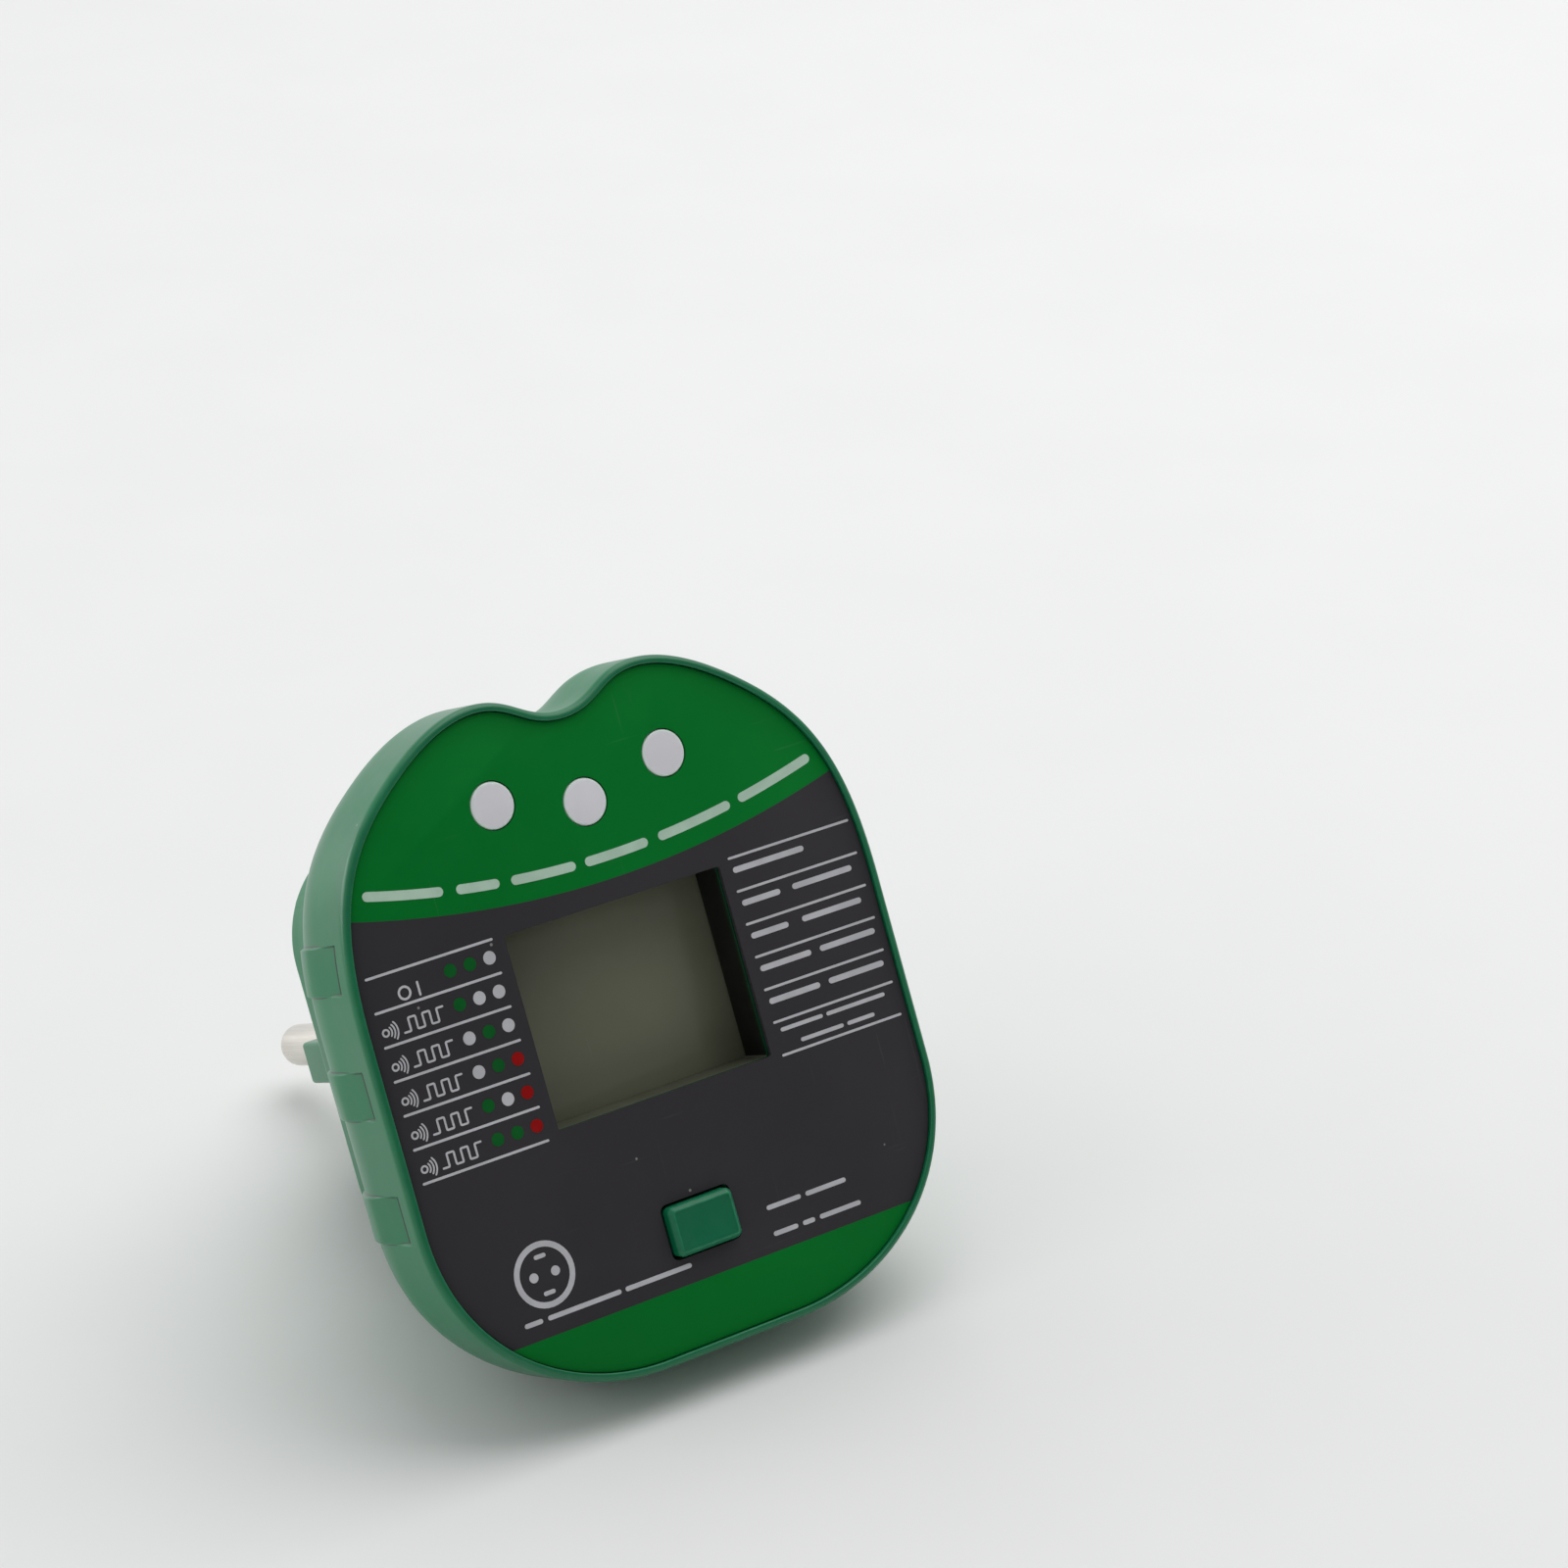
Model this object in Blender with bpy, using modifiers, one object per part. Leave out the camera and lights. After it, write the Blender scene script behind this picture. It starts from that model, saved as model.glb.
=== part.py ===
"""Outlet tester plug: a plug-in socket tester with a display, three lamps and a test button.

The origin is the centre of the plug's seating face. The pins point along +Y, the printed face
looks along -Y and +Z is up. Everything is in metres; mm turns a size in millimetres into metres.
"""

import math

import bmesh
import bpy
import numpy as np
from mathutils import Matrix, Vector

mm = 0.001
GAP = 0.3 * mm

# Case outline, right half, seen from the front: notch, lobe, shoulder, side, corner, bottom.
NOTCH_Z = 31.5 * mm
LOBE = (9.5 * mm, 34.5 * mm)
SHOULDER = (21.7 * mm, 28.8 * mm)
SHOULDER_ANGLE = 0.69
HALF_WIDTH = 30.75 * mm
SIDE_TOP_Z = 5.1 * mm
SIDE_BOTTOM_Z = -14.5 * mm
BOTTOM_HALF = 7.8 * mm
BOTTOM_Z = -36.0 * mm

# Depths along Y.
RIM_Y = -52.4 * mm
LABEL_Y = -52.0 * mm
LABEL_THICK = 0.5 * mm
PANEL_Y = LABEL_Y + LABEL_THICK + GAP
PANEL_THICK = 2.0 * mm
PANEL_BACK_Y = PANEL_Y + PANEL_THICK
SEAM_Y = -35.0 * mm
BACK_Y = -20.0 * mm
BOARD_Y = -41.2 * mm
BOARD_THICK = 1.6 * mm
BOARD_BACK_Y = BOARD_Y + BOARD_THICK
RECESS_INSET = 0.9 * mm
WALL = 2.2 * mm
SEAM_INSET = 4.0 * mm

# Rear platform: a rounded rectangle.
PLATFORM_HALF_WIDTH = 22.7 * mm
PLATFORM_HALF_HEIGHT = 24.0 * mm
PLATFORM_RADIUS = 12.0 * mm

# Grip pads.
PAD_CENTRES_Z = (-12.9 * mm, 0.0, 12.9 * mm)
PAD_HALF_HEIGHT = 2.35 * mm
PAD_RAMP = 0.25 * mm
PAD_FRONT_Y = RIM_Y + 2.4 * mm
PAD_SUNK = 0.4 * mm
PAD_PROUD = 0.4 * mm

# Display: its window, then its glass.
DISPLAY_Z = 1.05 * mm
DISPLAY_HALF_WIDTH = 12.8 * mm
DISPLAY_HALF_HEIGHT = 10.25 * mm
DISPLAY_Y = LABEL_Y + 6.0 * mm
GLASS_HALF = (14.3 * mm, 11.7 * mm)
GLASS_THICK = 2.2 * mm

# Lamps: x, z of each one.
LAMPS = {
    "left": (-10.1 * mm, 24.2 * mm),
    "centre": (0.0, 21.8 * mm),
    "right": (10.1 * mm, 24.2 * mm),
}
LAMP_RADIUS = 2.35 * mm
FLANGE = 0.9 * mm
FLANGE_RADIUS = 3.6 * mm

# Test button.
BUTTON_X = -0.2 * mm
BUTTON_Z = -22.95 * mm
BUTTON_HALF = (3.85 * mm, 2.65 * mm)
BUTTON_PROUD = 1.3 * mm
BUTTON_TRAVEL = 0.8 * mm
BUTTON_CORNER = 1.0 * mm
SWITCH_TOP_Y = BOARD_Y - 5.2 * mm

# Fixings: x, z of each one.
CASE_SCREWS = [(sx * 17.5 * mm, sz * 16.5 * mm) for sx in (-1, 1) for sz in (-1, 1)]
BOARD_SCREWS = [(sx * 23.0 * mm, 4.0 * mm) for sx in (-1, 1)] + [(sx * 11.0 * mm, -28.0 * mm) for sx in (-1, 1)]
PLUG_SCREWS = [(0.0, -7.5 * mm), (0.0, 7.5 * mm)]
CASE_POST_RADIUS = 3.0 * mm
BOARD_POST_RADIUS = 2.3 * mm
REAR_POST_RADIUS = 3.9 * mm
COUNTERBORE_RADIUS = 2.6 * mm
COUNTERBORE_DEPTH = 6.0 * mm
CLEARANCE_RADIUS = 1.5 * mm
PILOT_RADIUS = 1.25 * mm
BOARD_PILOT_RADIUS = 1.0 * mm

# Plug.
PIN_X = 9.5 * mm
PIN_RADIUS = 2.4 * mm
PIN_LENGTH = 19.0 * mm
PLUG_RADIUS = 13.7 * mm
WING_HALF_WIDTH = 17.7 * mm
WING_HALF_HEIGHT = 2.33 * mm
ARM_HALF_WIDTH = 5.2 * mm
ARM_HALF_HEIGHT = 15.6 * mm
WING_END_Y = -3.5 * mm
ARM_END_Y = -2.0 * mm
NECK_RADIUS = 13.2 * mm
RETAINER_RADIUS = 15.0 * mm
CONTACT_THICK = 0.8 * mm
CONTACT_HALF_WIDTH = 3.0 * mm
CONTACT_BOW = 0.9 * mm
CONTACT_Z = ARM_HALF_HEIGHT + GAP + CONTACT_THICK / 2
NECK_END_Y = BACK_Y - WALL - 0.4 * mm
COLLAR_BACK_Y = NECK_END_Y - GAP - 1.2 * mm
RETAINER_FRONT_Y = COLLAR_BACK_Y - GAP
RETAINER_BACK_Y = RETAINER_FRONT_Y - 1.6 * mm
TAIL_END_Y = RETAINER_BACK_Y - 2.6 * mm
BRACKET_Y = RETAINER_BACK_Y - 3.3 * mm

# Buzzer and the sound holes behind it.
BUZZER = (16.4 * mm, -6.0 * mm)
SOUND_CENTRE = (18.0 * mm, -7.4 * mm)
SOUND_PITCH = 2.1 * mm
SOUND_RADIUS = 0.75 * mm
SOUND_HOLES = [
    (SOUND_CENTRE[0] + dx * SOUND_PITCH, SOUND_CENTRE[1] + dz * SOUND_PITCH)
    for dx, dz in ((0, 0), (1, 0), (-1, 0), (0, 1), (0, -1))
]

SMOOTH_ANGLE = 35
GREEN = (0.012, 0.115, 0.046)
NICKEL = (0.78, 0.76, 0.70)


def clear_scene():
    for obj in list(bpy.data.objects):
        bpy.data.objects.remove(obj, do_unlink=True)


def new_collection(name, hidden=False):
    collection = bpy.data.collections.new(name)
    collection.hide_render = hidden
    bpy.context.scene.collection.children.link(collection)
    return collection


clear_scene()
PARTS = new_collection("outlet_tester_plug")
CUTTERS = new_collection("cutters", hidden=True)


def material(name, colour, roughness, metallic=0.0):
    found = bpy.data.materials.get(name)
    if found:
        return found
    made = bpy.data.materials.new(name)
    made.use_nodes = True
    shader = made.node_tree.nodes["Principled BSDF"]
    shader.inputs["Base Color"].default_value = (*colour, 1.0)
    shader.inputs["Roughness"].default_value = roughness
    shader.inputs["Metallic"].default_value = metallic
    return made


def add_part(name, data, finish, round_piece=False):
    obj = bpy.data.objects.new(name, data)
    PARTS.objects.link(obj)
    data.materials.append(finish)
    if round_piece:
        data.shade_smooth()
        data.set_sharp_from_angle(angle=math.radians(SMOOTH_ANGLE))
    return obj


def add_helper(name, data):
    """A body that only cuts another, or is joined to it."""
    obj = bpy.data.objects.new(name, data)
    CUTTERS.objects.link(obj)
    obj.hide_render = True
    obj.display_type = "WIRE"
    return obj


def boolean(obj, other, operation):
    modifier = obj.modifiers.new(other.name, "BOOLEAN")
    modifier.operation = operation
    modifier.solver = "EXACT"
    modifier.object = other


def mesh_from(name, bm):
    bmesh.ops.recalc_face_normals(bm, faces=bm.faces)
    mesh = bpy.data.meshes.new(name)
    bm.to_mesh(mesh)
    bm.free()
    return mesh


def add_box(bm, low, high):
    centre = (Vector(low) + Vector(high)) / 2
    size = Vector(high) - Vector(low)
    place = Matrix.Translation(centre) @ Matrix.Diagonal((*size, 1.0))
    return bmesh.ops.create_cube(bm, size=1.0, matrix=place)["verts"]


def add_rod(bm, x, z, radius, y_low, y_high, segments=20):
    """A cylinder along Y."""
    turn = Matrix.Rotation(math.radians(-90), 4, "X")
    place = Matrix.Translation((x, (y_low + y_high) / 2, z)) @ turn
    size = {"radius1": radius, "radius2": radius, "depth": y_high - y_low}
    bmesh.ops.create_cone(bm, cap_ends=True, segments=segments, matrix=place, **size)


def box_mesh(name, low, high, bevel=0.0):
    bm = bmesh.new()
    add_box(bm, low, high)
    if bevel:
        bmesh.ops.bevel(bm, geom=bm.edges[:], offset=bevel, segments=1, affect="EDGES")
    return mesh_from(name, bm)


def turned_part(name, profile, finish, place, steps=24):
    """Turns (radius, height) points about local Z; profile runs from the top down the outer side."""
    mesh = bpy.data.meshes.new(name)
    points = [(radius, 0.0, height) for radius, height in profile]
    mesh.from_pydata(points, [(i, i + 1) for i in range(len(points) - 1)], [])
    obj = add_part(name, mesh, finish)
    obj.matrix_world = place
    screw = obj.modifiers.new("turn", "SCREW")
    screw.steps = steps
    screw.render_steps = steps
    screw.use_merge_vertices = True
    screw.merge_threshold = 0.00001
    screw.use_smooth_shade = True
    return obj


def along_y(x, y, z):
    """Local +Z points along world +Y."""
    return Matrix.Translation((x, y, z)) @ Matrix.Rotation(math.radians(-90), 4, "X")


def along_minus_y(x, y, z):
    """Local +Z points along world -Y."""
    return Matrix.Translation((x, y, z)) @ Matrix.Rotation(math.radians(90), 4, "X")


def bezier(start, handle_1, handle_2, end, count):
    t = np.linspace(0.0, 1.0, count)[:, None]
    a, b, c, d = (np.array(p) for p in (start, handle_1, handle_2, end))
    return (1 - t) ** 3 * a + 3 * (1 - t) ** 2 * t * b + 3 * (1 - t) * t**2 * c + t**3 * d


def half_outline():
    """Dense right half of the case outline, from the notch round to the bottom centre."""
    down = np.array((math.cos(SHOULDER_ANGLE), -math.sin(SHOULDER_ANGLE)))
    notch = np.array((0.0, NOTCH_Z))
    lobe = np.array(LOBE)
    shoulder = np.array(SHOULDER)
    side_top = np.array((HALF_WIDTH, SIDE_TOP_Z))
    side_bottom = np.array((HALF_WIDTH, SIDE_BOTTOM_Z))
    corner = np.array((BOTTOM_HALF, BOTTOM_Z))
    across = np.array((1.0, 0.0))
    up = np.array((0.0, 1.0))
    dense = 80
    pieces = [
        bezier(notch, notch + 4.0 * mm * across, lobe - 4.6 * mm * across, lobe, dense),
        bezier(lobe, lobe + 4.2 * mm * across, shoulder - 4.8 * mm * down, shoulder, dense),
        bezier(shoulder, shoulder + 9.0 * mm * down, side_top + 11.5 * mm * up, side_top, dense),
        np.linspace(side_top, side_bottom, dense),
        bezier(side_bottom, side_bottom - 13.1 * mm * up, corner + 12.4 * mm * across, corner, dense),
        np.linspace(corner, (0.0, BOTTOM_Z), dense),
    ]
    return np.vstack([pieces[0]] + [piece[1:] for piece in pieces[1:]])


def outline(inset=0.0, count=27, with_pads=False):
    """Closed outline, set in along its normals. count points a side are spread by how far the line
    turns and how long it is; the grip pads' edges get points of their own."""
    right = half_outline()
    step = np.diff(right, axis=0)
    length = np.concatenate([[0.0], np.cumsum(np.hypot(*step.T))])
    heading = np.unwrap(np.arctan2(step[:, 1], step[:, 0]))
    turned = np.concatenate([[0.0], np.cumsum(np.abs(np.diff(heading))), [0.0]])
    turned[-1] = turned[-2]
    measure = length / length[-1] + 1.6 * turned / turned[-1]
    chosen = np.interp(np.linspace(0, measure[-1], count), measure, length)
    if with_pads:
        edges = [
            z + side * half
            for z in PAD_CENTRES_Z
            for side in (-1, 1)
            for half in (PAD_HALF_HEIGHT, PAD_HALF_HEIGHT + PAD_RAMP)
        ]
        below_lobe = right[:, 1].argmax()
        falling = right[below_lobe:]
        at_pads = np.interp(-np.array(edges), -falling[:, 1], length[below_lobe:])
        apart = np.abs(chosen[:, None] - at_pads[None]).min(axis=1) > 0.9 * mm
        chosen = np.sort(np.concatenate([chosen[apart], at_pads]))
    normal = np.gradient(right, axis=0)
    normal = np.stack([-normal[:, 1], normal[:, 0]], axis=1)
    normal /= np.linalg.norm(normal, axis=1)[:, None]
    moved = right - inset * normal
    half = np.stack([np.interp(chosen, length, moved[:, k]) for k in (0, 1)], axis=1)
    half[0, 0] = 0.0
    half[-1, 0] = 0.0
    left = half[-2:0:-1] * (-1, 1)
    return np.vstack([half, left])


def platform_like(points, inset=0.0):
    """The rounded rectangle of the rear platform, met in the direction of each outline point."""
    half_width = PLATFORM_HALF_WIDTH - inset
    half_height = PLATFORM_HALF_HEIGHT - inset
    radius = PLATFORM_RADIUS - inset
    angle = np.arctan2(points[:, 1], points[:, 0])
    reach = np.linspace(0.5, 1.0, 2001) * math.hypot(half_width, half_height)
    x = np.abs(np.cos(angle))[:, None] * reach
    z = np.abs(np.sin(angle))[:, None] * reach
    over_x = np.maximum(x - (half_width - radius), 0.0)
    over_z = np.maximum(z - (half_height - radius), 0.0)
    inside = np.hypot(over_x, over_z) <= radius
    far = reach[inside.sum(axis=1) - 1]
    return np.stack([far * np.cos(angle), far * np.sin(angle)], axis=1)


def loft_mesh(name, rings):
    """Skins (outline points, y) rings with the same number of points, and closes both ends."""
    bm = bmesh.new()
    loops = [[bm.verts.new((x, y, z)) for x, z in points] for points, y in rings]
    for first, second in zip(loops, loops[1:]):
        for i in range(len(first)):
            j = (i + 1) % len(first)
            bm.faces.new((first[i], first[j], second[j], second[i]))
    bm.faces.new(loops[0])
    bm.faces.new(loops[-1])
    return mesh_from(name, bm)


def on_pad(points):
    """1 on a grip pad's flat top and 0 elsewhere."""
    z = points[:, 1]
    flat = np.zeros(len(points))
    for centre in PAD_CENTRES_Z:
        flat[np.abs(z - centre) < PAD_HALF_HEIGHT + PAD_RAMP / 2] = 1.0
    return flat * (np.abs(points[:, 0]) > 0.8 * HALF_WIDTH)


def front_wall_inset(depth):
    """How far the side wall has curved in at this depth behind the rim."""
    depths = [8.0 * mm, 12.0 * mm, 15.0 * mm, SEAM_Y - RIM_Y]
    return float(np.interp(depth, depths, [0.0, 0.7 * mm, 2.2 * mm, SEAM_INSET]))


def front_case():
    plain = outline(0.0, with_pads=True)
    pads = on_pad(plain)
    rings = [
        (outline(0.45 * mm, with_pads=True), RIM_Y),
        (outline(0.12 * mm, with_pads=True), RIM_Y + 0.18 * mm),
        (plain, RIM_Y + 0.5 * mm),
        (plain, PAD_FRONT_Y),
    ]
    side = np.sign(plain[:, 0])
    pad_front = PAD_FRONT_Y - RIM_Y
    for depth in (pad_front + 0.15 * mm, 8.0 * mm, 12.0 * mm, 15.0 * mm, SEAM_Y - RIM_Y):
        ring = outline(front_wall_inset(depth), with_pads=True)
        lift = np.interp(depth, [pad_front, 9.0 * mm], [-PAD_SUNK, PAD_PROUD])
        ring[:, 0] += side * pads * lift
        rings.append((ring, RIM_Y + depth))
    green = material("case_green", GREEN, 0.42)
    case = add_part("front_case", loft_mesh("front_case", rings), green, round_piece=True)

    recess = [(outline(RECESS_INSET), RIM_Y - 1.0 * mm), (outline(RECESS_INSET), PANEL_Y)]
    boolean(case, add_helper("label_recess", loft_mesh("label_recess", recess)), "DIFFERENCE")

    hollow = [
        (outline(WALL + 0.2 * mm, count=20), PANEL_BACK_Y),
        (outline(WALL + 0.2 * mm, count=20), RIM_Y + 8.5 * mm),
        (outline(WALL + 0.9 * mm, count=20), RIM_Y + 12.4 * mm),
        (outline(WALL + 2.3 * mm, count=20), RIM_Y + 15.4 * mm),
        (outline(WALL + SEAM_INSET, count=20), SEAM_Y + 1.0 * mm),
    ]
    boolean(case, add_helper("front_hollow", loft_mesh("front_hollow", hollow)), "DIFFERENCE")

    bm = bmesh.new()
    into_wall = PANEL_BACK_Y - 1.0 * mm
    for x, z in CASE_SCREWS:
        add_rod(bm, x, z, CASE_POST_RADIUS, into_wall, SEAM_Y + GAP, 16)
    for x, z in BOARD_SCREWS:
        add_rod(bm, x, z, BOARD_POST_RADIUS, into_wall, BOARD_Y - GAP, 14)
    rib = 1.2 * mm
    add_box(
        bm,
        (-DISPLAY_HALF_WIDTH - rib, into_wall, DISPLAY_Z - DISPLAY_HALF_HEIGHT - rib),
        (DISPLAY_HALF_WIDTH + rib, DISPLAY_Y - GAP, DISPLAY_Z + DISPLAY_HALF_HEIGHT + rib),
    )
    boolean(case, add_helper("front_posts", mesh_from("front_posts", bm)), "UNION")

    bm = bmesh.new()
    through = RIM_Y - 2.0 * mm
    add_box(
        bm,
        (-DISPLAY_HALF_WIDTH, through, DISPLAY_Z - DISPLAY_HALF_HEIGHT),
        (DISPLAY_HALF_WIDTH, DISPLAY_Y + 1.0 * mm, DISPLAY_Z + DISPLAY_HALF_HEIGHT),
    )
    for x, z in LAMPS.values():
        add_rod(bm, x, z, LAMP_RADIUS + GAP, through, PANEL_BACK_Y + 1.0 * mm, 20)
    for x, z in CASE_SCREWS:
        add_rod(bm, x, z, PILOT_RADIUS, SEAM_Y - 9.0 * mm, SEAM_Y + 2.0 * mm, 12)
    for x, z in BOARD_SCREWS:
        add_rod(bm, x, z, BOARD_PILOT_RADIUS, BOARD_Y - 6.0 * mm, BOARD_Y + 1.0 * mm, 12)
    boolean(case, add_helper("front_holes", mesh_from("front_holes", bm)), "DIFFERENCE")
    opening = button_outline(-GAP, BUTTON_X, BUTTON_Z)
    hole = loft_mesh("button_hole", [(opening, through), (opening, PANEL_BACK_Y + 1.0 * mm)])
    boolean(case, add_helper("button_hole", hole), "DIFFERENCE")


def rear_case():
    def section(outer_inset, share, platform_inset=0.0, count=27):
        ring = outline(outer_inset, count=count)
        return ring * (1 - share) + platform_like(outline(0.0, count=count), platform_inset) * share

    start = SEAM_Y + GAP
    lip = WALL + SEAM_INSET + GAP
    rings = [
        (section(lip, 0.0), start - 2.0 * mm),
        (section(lip, 0.0), start + 0.2 * mm),
        (section(SEAM_INSET + 0.1 * mm, 0.0), start + 0.2 * mm),
        (section(5.0 * mm, 0.0), start + 1.6 * mm),
        (section(5.6 * mm, 0.35), start + 4.5 * mm),
        (section(6.0 * mm, 0.75), start + 8.5 * mm),
        (section(0.0, 1.0), start + 12.0 * mm),
        (section(0.0, 1.0), BACK_Y - 0.9 * mm),
        (section(0.0, 1.0, 0.3 * mm), BACK_Y - 0.3 * mm),
        (section(0.0, 1.0, 1.0 * mm), BACK_Y),
    ]
    green = material("case_green", GREEN, 0.42)
    case = add_part("rear_case", loft_mesh("rear_case", rings), green, round_piece=True)

    few = 20
    hollow = [
        (section(lip + 1.4 * mm, 0.0, count=few), start - 3.0 * mm),
        (section(lip + 1.4 * mm, 0.0, count=few), start + 1.6 * mm),
        (section(lip + 1.8 * mm, 0.75, WALL, count=few), start + 8.0 * mm),
        (section(0.0, 1.0, WALL, count=few), start + 11.6 * mm),
        (section(0.0, 1.0, WALL, count=few), BACK_Y - WALL),
    ]
    boolean(case, add_helper("rear_hollow", loft_mesh("rear_hollow", hollow)), "DIFFERENCE")

    bm = bmesh.new()
    for x, z in CASE_SCREWS:
        add_rod(bm, x, z, REAR_POST_RADIUS, start + GAP, BACK_Y - 1.0 * mm, 16)
    boolean(case, add_helper("rear_posts", mesh_from("rear_posts", bm)), "UNION")

    bm = bmesh.new()
    beyond = BACK_Y + 2.0 * mm
    for x, z in CASE_SCREWS:
        add_rod(bm, x, z, COUNTERBORE_RADIUS, BACK_Y - COUNTERBORE_DEPTH, beyond, 16)
        add_rod(bm, x, z, CLEARANCE_RADIUS, SEAM_Y - 2.0 * mm, BACK_Y - COUNTERBORE_DEPTH + 1.0 * mm, 12)
    add_rod(bm, 0.0, 0.0, NECK_RADIUS + GAP, BACK_Y - 4.0 * mm, beyond, 32)
    slot_x = CONTACT_HALF_WIDTH + GAP
    slot_z = CONTACT_THICK / 2 + GAP
    for side in (-1, 1):
        z = side * CONTACT_Z
        add_box(bm, (-slot_x, BACK_Y - 4.0 * mm, z - slot_z), (slot_x, beyond, z + slot_z))
    for x, z in SOUND_HOLES:
        add_rod(bm, x, z, SOUND_RADIUS, BACK_Y - 4.0 * mm, beyond, 10)
    boolean(case, add_helper("rear_holes", mesh_from("rear_holes", bm)), "DIFFERENCE")
    case.modifiers[-1].use_self = True


def flat_plate(name, loops, y_low, y_high, finish):
    """A plate in the XZ plane whose first loop is its edge and whose other loops are its holes."""
    curve = bpy.data.curves.new(name, "CURVE")
    curve.dimensions = "2D"
    curve.fill_mode = "BOTH"
    curve.extrude = (y_high - y_low) / 2
    for loop in loops:
        spline = curve.splines.new("POLY")
        spline.points.add(len(loop) - 1)
        for point, (x, z) in zip(spline.points, loop):
            point.co = (x, z, 0.0, 1.0)
        spline.use_cyclic_u = True
    plate = add_part(name, curve, finish)
    plate.matrix_world = along_minus_y(0.0, (y_low + y_high) / 2, 0.0)
    return plate


def circle(x, z, radius, count=20):
    angle = np.linspace(0.0, 2 * math.pi, count, endpoint=False)
    return np.stack([x + radius * np.cos(angle), z + radius * np.sin(angle)], axis=1)


def rounded_rectangle(x, z, half_width, half_height, radius=0.0, arc=4):
    if not radius:
        return [
            (x - half_width, z - half_height),
            (x + half_width, z - half_height),
            (x + half_width, z + half_height),
            (x - half_width, z + half_height),
        ]
    points = []
    for k, (sx, sz) in enumerate(((1, 1), (-1, 1), (-1, -1), (1, -1))):
        for angle in np.linspace(k * math.pi / 2, (k + 1) * math.pi / 2, arc + 1):
            points.append(
                (
                    x + sx * (half_width - radius) + radius * math.cos(angle),
                    z + sz * (half_height - radius) + radius * math.sin(angle),
                )
            )
    return points


def face_label():
    loops = [
        outline(RECESS_INSET + 0.25 * mm),
        rounded_rectangle(0.0, DISPLAY_Z, DISPLAY_HALF_WIDTH, DISPLAY_HALF_HEIGHT),
        button_outline(-GAP, BUTTON_X, BUTTON_Z),
    ]
    loops += [circle(x, z, LAMP_RADIUS + 0.2 * mm) for x, z in LAMPS.values()]
    printed = material("printed_label", (0.06, 0.06, 0.062), 0.5)
    flat_plate("face_label", loops, LABEL_Y, LABEL_Y + LABEL_THICK, printed)


def display():
    half_width, half_height = GLASS_HALF
    glass_back = DISPLAY_Y + GLASS_THICK
    low_z = DISPLAY_Z - half_height
    high_z = DISPLAY_Z + half_height
    low = (-half_width, DISPLAY_Y, low_z)
    glass = box_mesh("lcd_glass", low, (half_width, glass_back, high_z), 0.15 * mm)
    add_part("lcd_glass", glass, material("lcd_grey", (0.065, 0.067, 0.045), 0.2))

    back = glass_back + GAP
    reflector_low = low_z + 2.6 * mm
    low = (-half_width, back, reflector_low)
    reflector = box_mesh("lcd_reflector", low, (half_width, back + 0.5 * mm, high_z))
    add_part("lcd_reflector", reflector, material("reflector_foil", (0.6, 0.6, 0.6), 0.3, 0.9))

    strip_low = low_z + 0.5 * mm
    high = (12.0 * mm, BOARD_Y - GAP, strip_low + 1.6 * mm)
    strip = box_mesh("contact_strip", (-12.0 * mm, back, strip_low), high, 0.2 * mm)
    add_part("contact_strip", strip, material("elastomer", (0.03, 0.03, 0.035), 0.8))

    loops = [
        rounded_rectangle(0.0, DISPLAY_Z, half_width + 1.1 * mm, half_height + 1.1 * mm, 0.8 * mm, 2),
        rounded_rectangle(0.0, DISPLAY_Z, half_width + GAP, half_height + GAP),
    ]
    white = material("holder_white", (0.6, 0.6, 0.58), 0.5)
    flat_plate("lcd_holder", loops, DISPLAY_Y, BOARD_Y - GAP, white)


def lamps():
    lens = material("lamp_window", (0.74, 0.73, 0.74), 0.35)
    led = material("led_epoxy", (0.75, 0.75, 0.72), 0.15)
    flange_y = PANEL_BACK_Y + GAP
    height = flange_y - LABEL_Y
    led_base = BOARD_Y - GAP
    led_length = led_base - (flange_y + FLANGE + GAP)
    dome = 1.5 * mm
    for name, (x, z) in LAMPS.items():
        window = [
            (0.0, height + FLANGE),
            (LAMP_RADIUS - 0.15 * mm, height + FLANGE),
            (LAMP_RADIUS, height + FLANGE - 0.15 * mm),
            (LAMP_RADIUS, FLANGE),
            (FLANGE_RADIUS, FLANGE),
            (FLANGE_RADIUS, 0.0),
            (0.0, 0.0),
        ]
        turned_part("lamp_window_" + name, window, lens, along_minus_y(x, flange_y + FLANGE, z))
        turns = np.radians((0, 30, 60, 90))
        tip = [(dome * math.sin(a), led_length - dome + dome * math.cos(a)) for a in turns]
        body = tip + [(dome, 1.0 * mm), (1.9 * mm, 1.0 * mm), (1.9 * mm, 0.0), (0.0, 0.0)]
        turned_part("led_" + name, body, led, along_minus_y(x, led_base, z), 16)


def button_outline(inset=0.0, x=0.0, z=0.0):
    half_x, half_z = (half - inset for half in BUTTON_HALF)
    return rounded_rectangle(x, z, half_x, half_z, max(BUTTON_CORNER - inset, 0.3 * mm), 3)


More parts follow.
